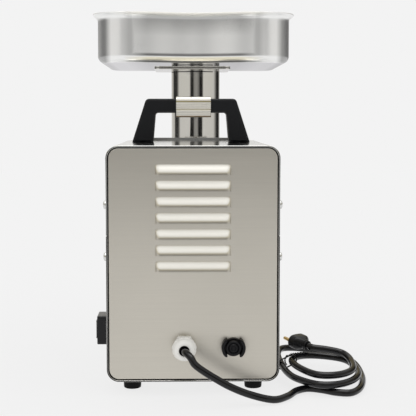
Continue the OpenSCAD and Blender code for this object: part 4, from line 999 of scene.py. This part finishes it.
# The plug along its axis: distance from its tail, radius, half the gap between its two lobes
PLUG_RELIEF = [(0, 4.6, 0), (0.4, 5.1, 0), (1.4, 5.2, 0), (1.8, 4.7, 0), (2.6, 4.7, 0), (3.0, 5.3, 0),
               (4.2, 5.4, 0), (4.7, 5.0, 0)]
PLUG_GRIP = [(5.5, 5.4, 0.4), (8, 6.4, 2.0), (10.5, 7.3, 3.8), (12.2, 7.5, 4.5), (18.8, 7.5, 4.5),
             (19.6, 7.2, 4.4), (20, 6.6, 4.2)]
PIN_HALF_GAP, PIN_START = 6.3, 12.5
PIN_STATIONS = ((0, 1.8), (8, 1.8), (18, 1.8), (19.0, 1.5), (19.4, 0.8))


def lobed_ring(centre, side, up, radius, lobe, steps):
    """A ring of two lobes; with no lobe it is a circle."""
    ring = []
    for a in (2 * math.pi * k / steps for k in range(steps)):
        shift = lobe * math.tanh(4 * math.cos(a))
        ring.append(centre + (radius * math.cos(a) + shift) * side + radius * math.sin(a) * up)
    return ring


def power_plug():
    """Moulded two-pin plug: a ribbed strain relief that swells into a flat two-lobed body."""
    side = PLUG_DIR.cross(Vector((0, 0, 1))).normalized()
    up = side.cross(PLUG_DIR)
    body = loft([lobed_ring(PLUG_TAIL + PLUG_DIR * along, side, up, radius, lobe, 48)
                 for along, radius, lobe in PLUG_RELIEF + PLUG_GRIP])
    finish_mesh("Plug_Body", body, "casing", "plug", "plug_body", 45.0)
    starts = [PLUG_TAIL + PLUG_DIR * PIN_START + side * gap for gap in (-PIN_HALF_GAP, PIN_HALF_GAP)]
    pins = [loft([lobed_ring(start + PLUG_DIR * along, side, up, radius, 0, 24)
                  for along, radius in PIN_STATIONS]) for start in starts]
    finish_mesh("Plug_Pins", join_meshes(pins), "casing", "brass", "plug_pins", 45.0)


# ---- CAD nodes that keep their own shape ----
KEPT = {
    "shell": ["base_shell", "front_panel"],
    "cover": ["top_cover"],
    "gasket": ["panel_gaskets", "gland_seal", "oil_seals"],
    "screw": ["side_screws", "screw_washers", "base_screws", "handle_screws", "collar_screws", "motor_bolts",
              "clinch_nuts", "rocker_pin", "rotor_shaft", "output_shaft", "motor_bearings",
              "gearbox_bearings", "capacitor_clamp"],
    "nylon": ["gland_body", "gland_locknut"],
    "breaker": ["breaker_body"],
    "switch": ["switch_body"],
    "white": ["terminal_block", "auger_bush", "cooling_fan", "capacitor"],
    "wire": ["wiring_loom"],
    "lamination": ["stator_core", "rotor_core"],
    "copper": ["stator_windings"],
    "cast": ["front_end_bell", "rear_end_bell", "gearbox_case", "gearbox_cover"],
    "paint": ["motor_cradle"],
    "gear": ["motor_pinion", "idler_gears", "output_gear"],
    "mirror": ["grinder_head"],
    "machined": ["head_collar", "auger", "cutting_knife", "grinding_plate", "ring_nut"],
    "knob": ["clamp_knob"],
}
# How far their edges are rounded, in millimetres
EASED = {"base_shell": 0.6, "top_cover": 0.6, "front_panel": 0.3, "head_collar": 0.8, "ring_nut": 0.8,
         "clamp_knob": 1.2, "gland_body": 0.4, "side_screws": 0.15, "screw_washers": 0.2,
         "collar_screws": 0.6, "grinding_plate": 0.2, "cutting_knife": 0.3}
# Corners of a CAD mesh closer than this, in metres, are one corner
WELD = 1e-6


def dress_cad_nodes():
    """Gives each CAD node that stays its material, and rounds the edges that show."""
    for material, nodes in KEPT.items():
        for node in nodes:
            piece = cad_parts[node]
            piece.data.materials.clear()
            piece.data.materials.append(MATERIALS[material])
            if node in EASED:
                weld = piece.modifiers.new("Weld", "WELD")
                weld.merge_threshold = WELD
                bevel(piece, EASED[node])


# ---- stage, light and camera ----
PALE = 0.896
FLOOR_SIZE, FLOOR_LIFT = 4000.0, 0.85
# The camera: how far behind the rear panel, sideways and up; its lens; how far it looks down and right
EYE_BACK = 970.25
EYE_X, EYE_Z = -9.35, 278.36
LENS, SENSOR = 85.13, 36.0
SHIFT_X, SHIFT_Y = 0.02, -0.05
PITCH, YAW = 4.0075, 0.9389
# Brightness round the object by compass angle, 0 straight behind the camera
STUDIO = [(-180, 0.85), (-146, 0.62), (-122, 0.5), (-116, 0.03), (-94, 0.03), (-88, 0.14), (-79, 0.62),
          (-27, 0.62), (-22, 0.02), (-11, 0.02), (-7, 0.24), (4, 0.30), (14, 0.16), (19, 0.012), (30, 0.012),
          (35, 0.64), (96, 0.60), (108, 0.24), (120, 0.015), (143, 0.02), (152, 0.36), (180, 0.85)]
# Tint by height, from -1 straight down to 1 straight up: a thin dark bench edge and a warm wall
WHITE, DARK, WARM = (1, 1, 1), (0.8, 0.8, 0.84), (0.60, 0.52, 0.33)
TINTS = [(-1.0, WHITE), (-0.1, WHITE), (-0.085, DARK), (-0.045, DARK), (-0.03, WHITE), (0.24, WHITE),
         (0.28, WARM), (0.46, WARM), (0.54, WHITE), (1.0, WHITE)]
CEILING = (0.95, 0.95, 0.94)
LAMP_STRENGTH = 4.0


def studio_world():
    """Pale backdrop for the camera, even light for matt surfaces, and for reflections a studio of soft boxes
    and dark flags with a lamp overhead."""
    world = bpy.data.worlds.new("Studio")
    bpy.context.scene.world = world
    world.use_nodes = True
    world.node_tree.nodes.clear()
    n = Nodes(world.node_tree)
    parts = n.node("ShaderNodeSeparateXYZ")
    n.put(parts.inputs[0], n.node("ShaderNodeTexCoord").outputs["Generated"])
    height = parts.outputs["Z"]
    back = n.math("MULTIPLY", parts.outputs["Y"], -1.0)
    angle = n.remap(n.math("ARCTAN2", parts.outputs["X"], back), 0.0, 1.0, -math.pi, math.pi)
    walls = n.ramp(angle, [((degrees + 180) / 360, (v, v * 0.99, v * 0.965)) for degrees, v in STUDIO])
    room = n.blend(n.remap(height, 0.0, 1.0, 0.15, 0.75), walls, CEILING)
    tint = n.ramp(n.remap(height, 0.0, 1.0, -1.0, 1.0), [((z + 1) / 2, color) for z, color in TINTS])
    room = n.blend(1.0, room, tint, "MULTIPLY")
    lamp = n.remap(height, 1.0, LAMP_STRENGTH, 0.90, 0.96)
    even = n.node("ShaderNodeBackground", Color=(1, 1, 1, 1), Strength=1.0)
    studio = n.node("ShaderNodeBackground", Color=room, Strength=lamp)
    backdrop = n.node("ShaderNodeBackground", Color=(PALE, PALE, PALE, 1))
    path = n.node("ShaderNodeLightPath").outputs
    light = n.switch(path["Is Glossy Ray"], even.outputs[0], studio.outputs[0])
    view = n.switch(path["Is Camera Ray"], light, backdrop.outputs[0])
    n.put(n.node("ShaderNodeOutputWorld").inputs[0], view)


def stage():
    """Plain pale floor that partly glows, so that it meets the backdrop without an edge."""
    corners = [(x * FLOOR_SIZE, y * FLOOR_SIZE, 0) for x, y in ((-1, -1), (1, -1), (1, 1), (-1, 1))]
    mesh = mesh_from(corners, [(0, 1, 2, 3)])
    mesh.transform(Matrix.Scale(MM, 4))
    floor = bpy.data.objects.new("Floor", mesh)
    bpy.context.scene.collection.objects.link(floor)
    s = Shader("Floor_Pale")
    own = PALE * (1 - FLOOR_LIFT)
    s.set(Base_Color=(own, own, own, 1.0), Roughness=0.9)
    s.set(Emission_Color=(PALE, PALE, PALE, 1.0), Emission_Strength=FLOOR_LIFT)
    s.put(s.bsdf.inputs["Specular IOR Level"], 0.0)
    mesh.materials.append(s.material)


def camera():
    """The photo's view: from behind, a little above the casing, looking slightly down."""
    data = bpy.data.cameras.new("Camera")
    data.sensor_width = SENSOR
    data.lens = LENS
    data.shift_x, data.shift_y = SHIFT_X, SHIFT_Y
    data.clip_end = 100.0
    eye = bpy.data.objects.new("Camera", data)
    eye.location = (EYE_X * MM, (REAR - EYE_BACK) * MM, EYE_Z * MM)
    eye.rotation_euler = (math.radians(90 - PITCH), 0, math.radians(-YAW))
    bpy.context.scene.collection.objects.link(eye)
    bpy.context.scene.camera = eye


dress_cad_nodes()
rear_panel()
carry_handle()
meat_tray()
tray_bracket()
cable_gland()
reset_breaker()
rocker_switch()
rubber_feet()
power_cord()
cord_tie()
power_plug()
studio_world()
stage()
camera()
bpy.context.scene.view_settings.view_transform = "Standard"

bpy.context.view_layer.update()
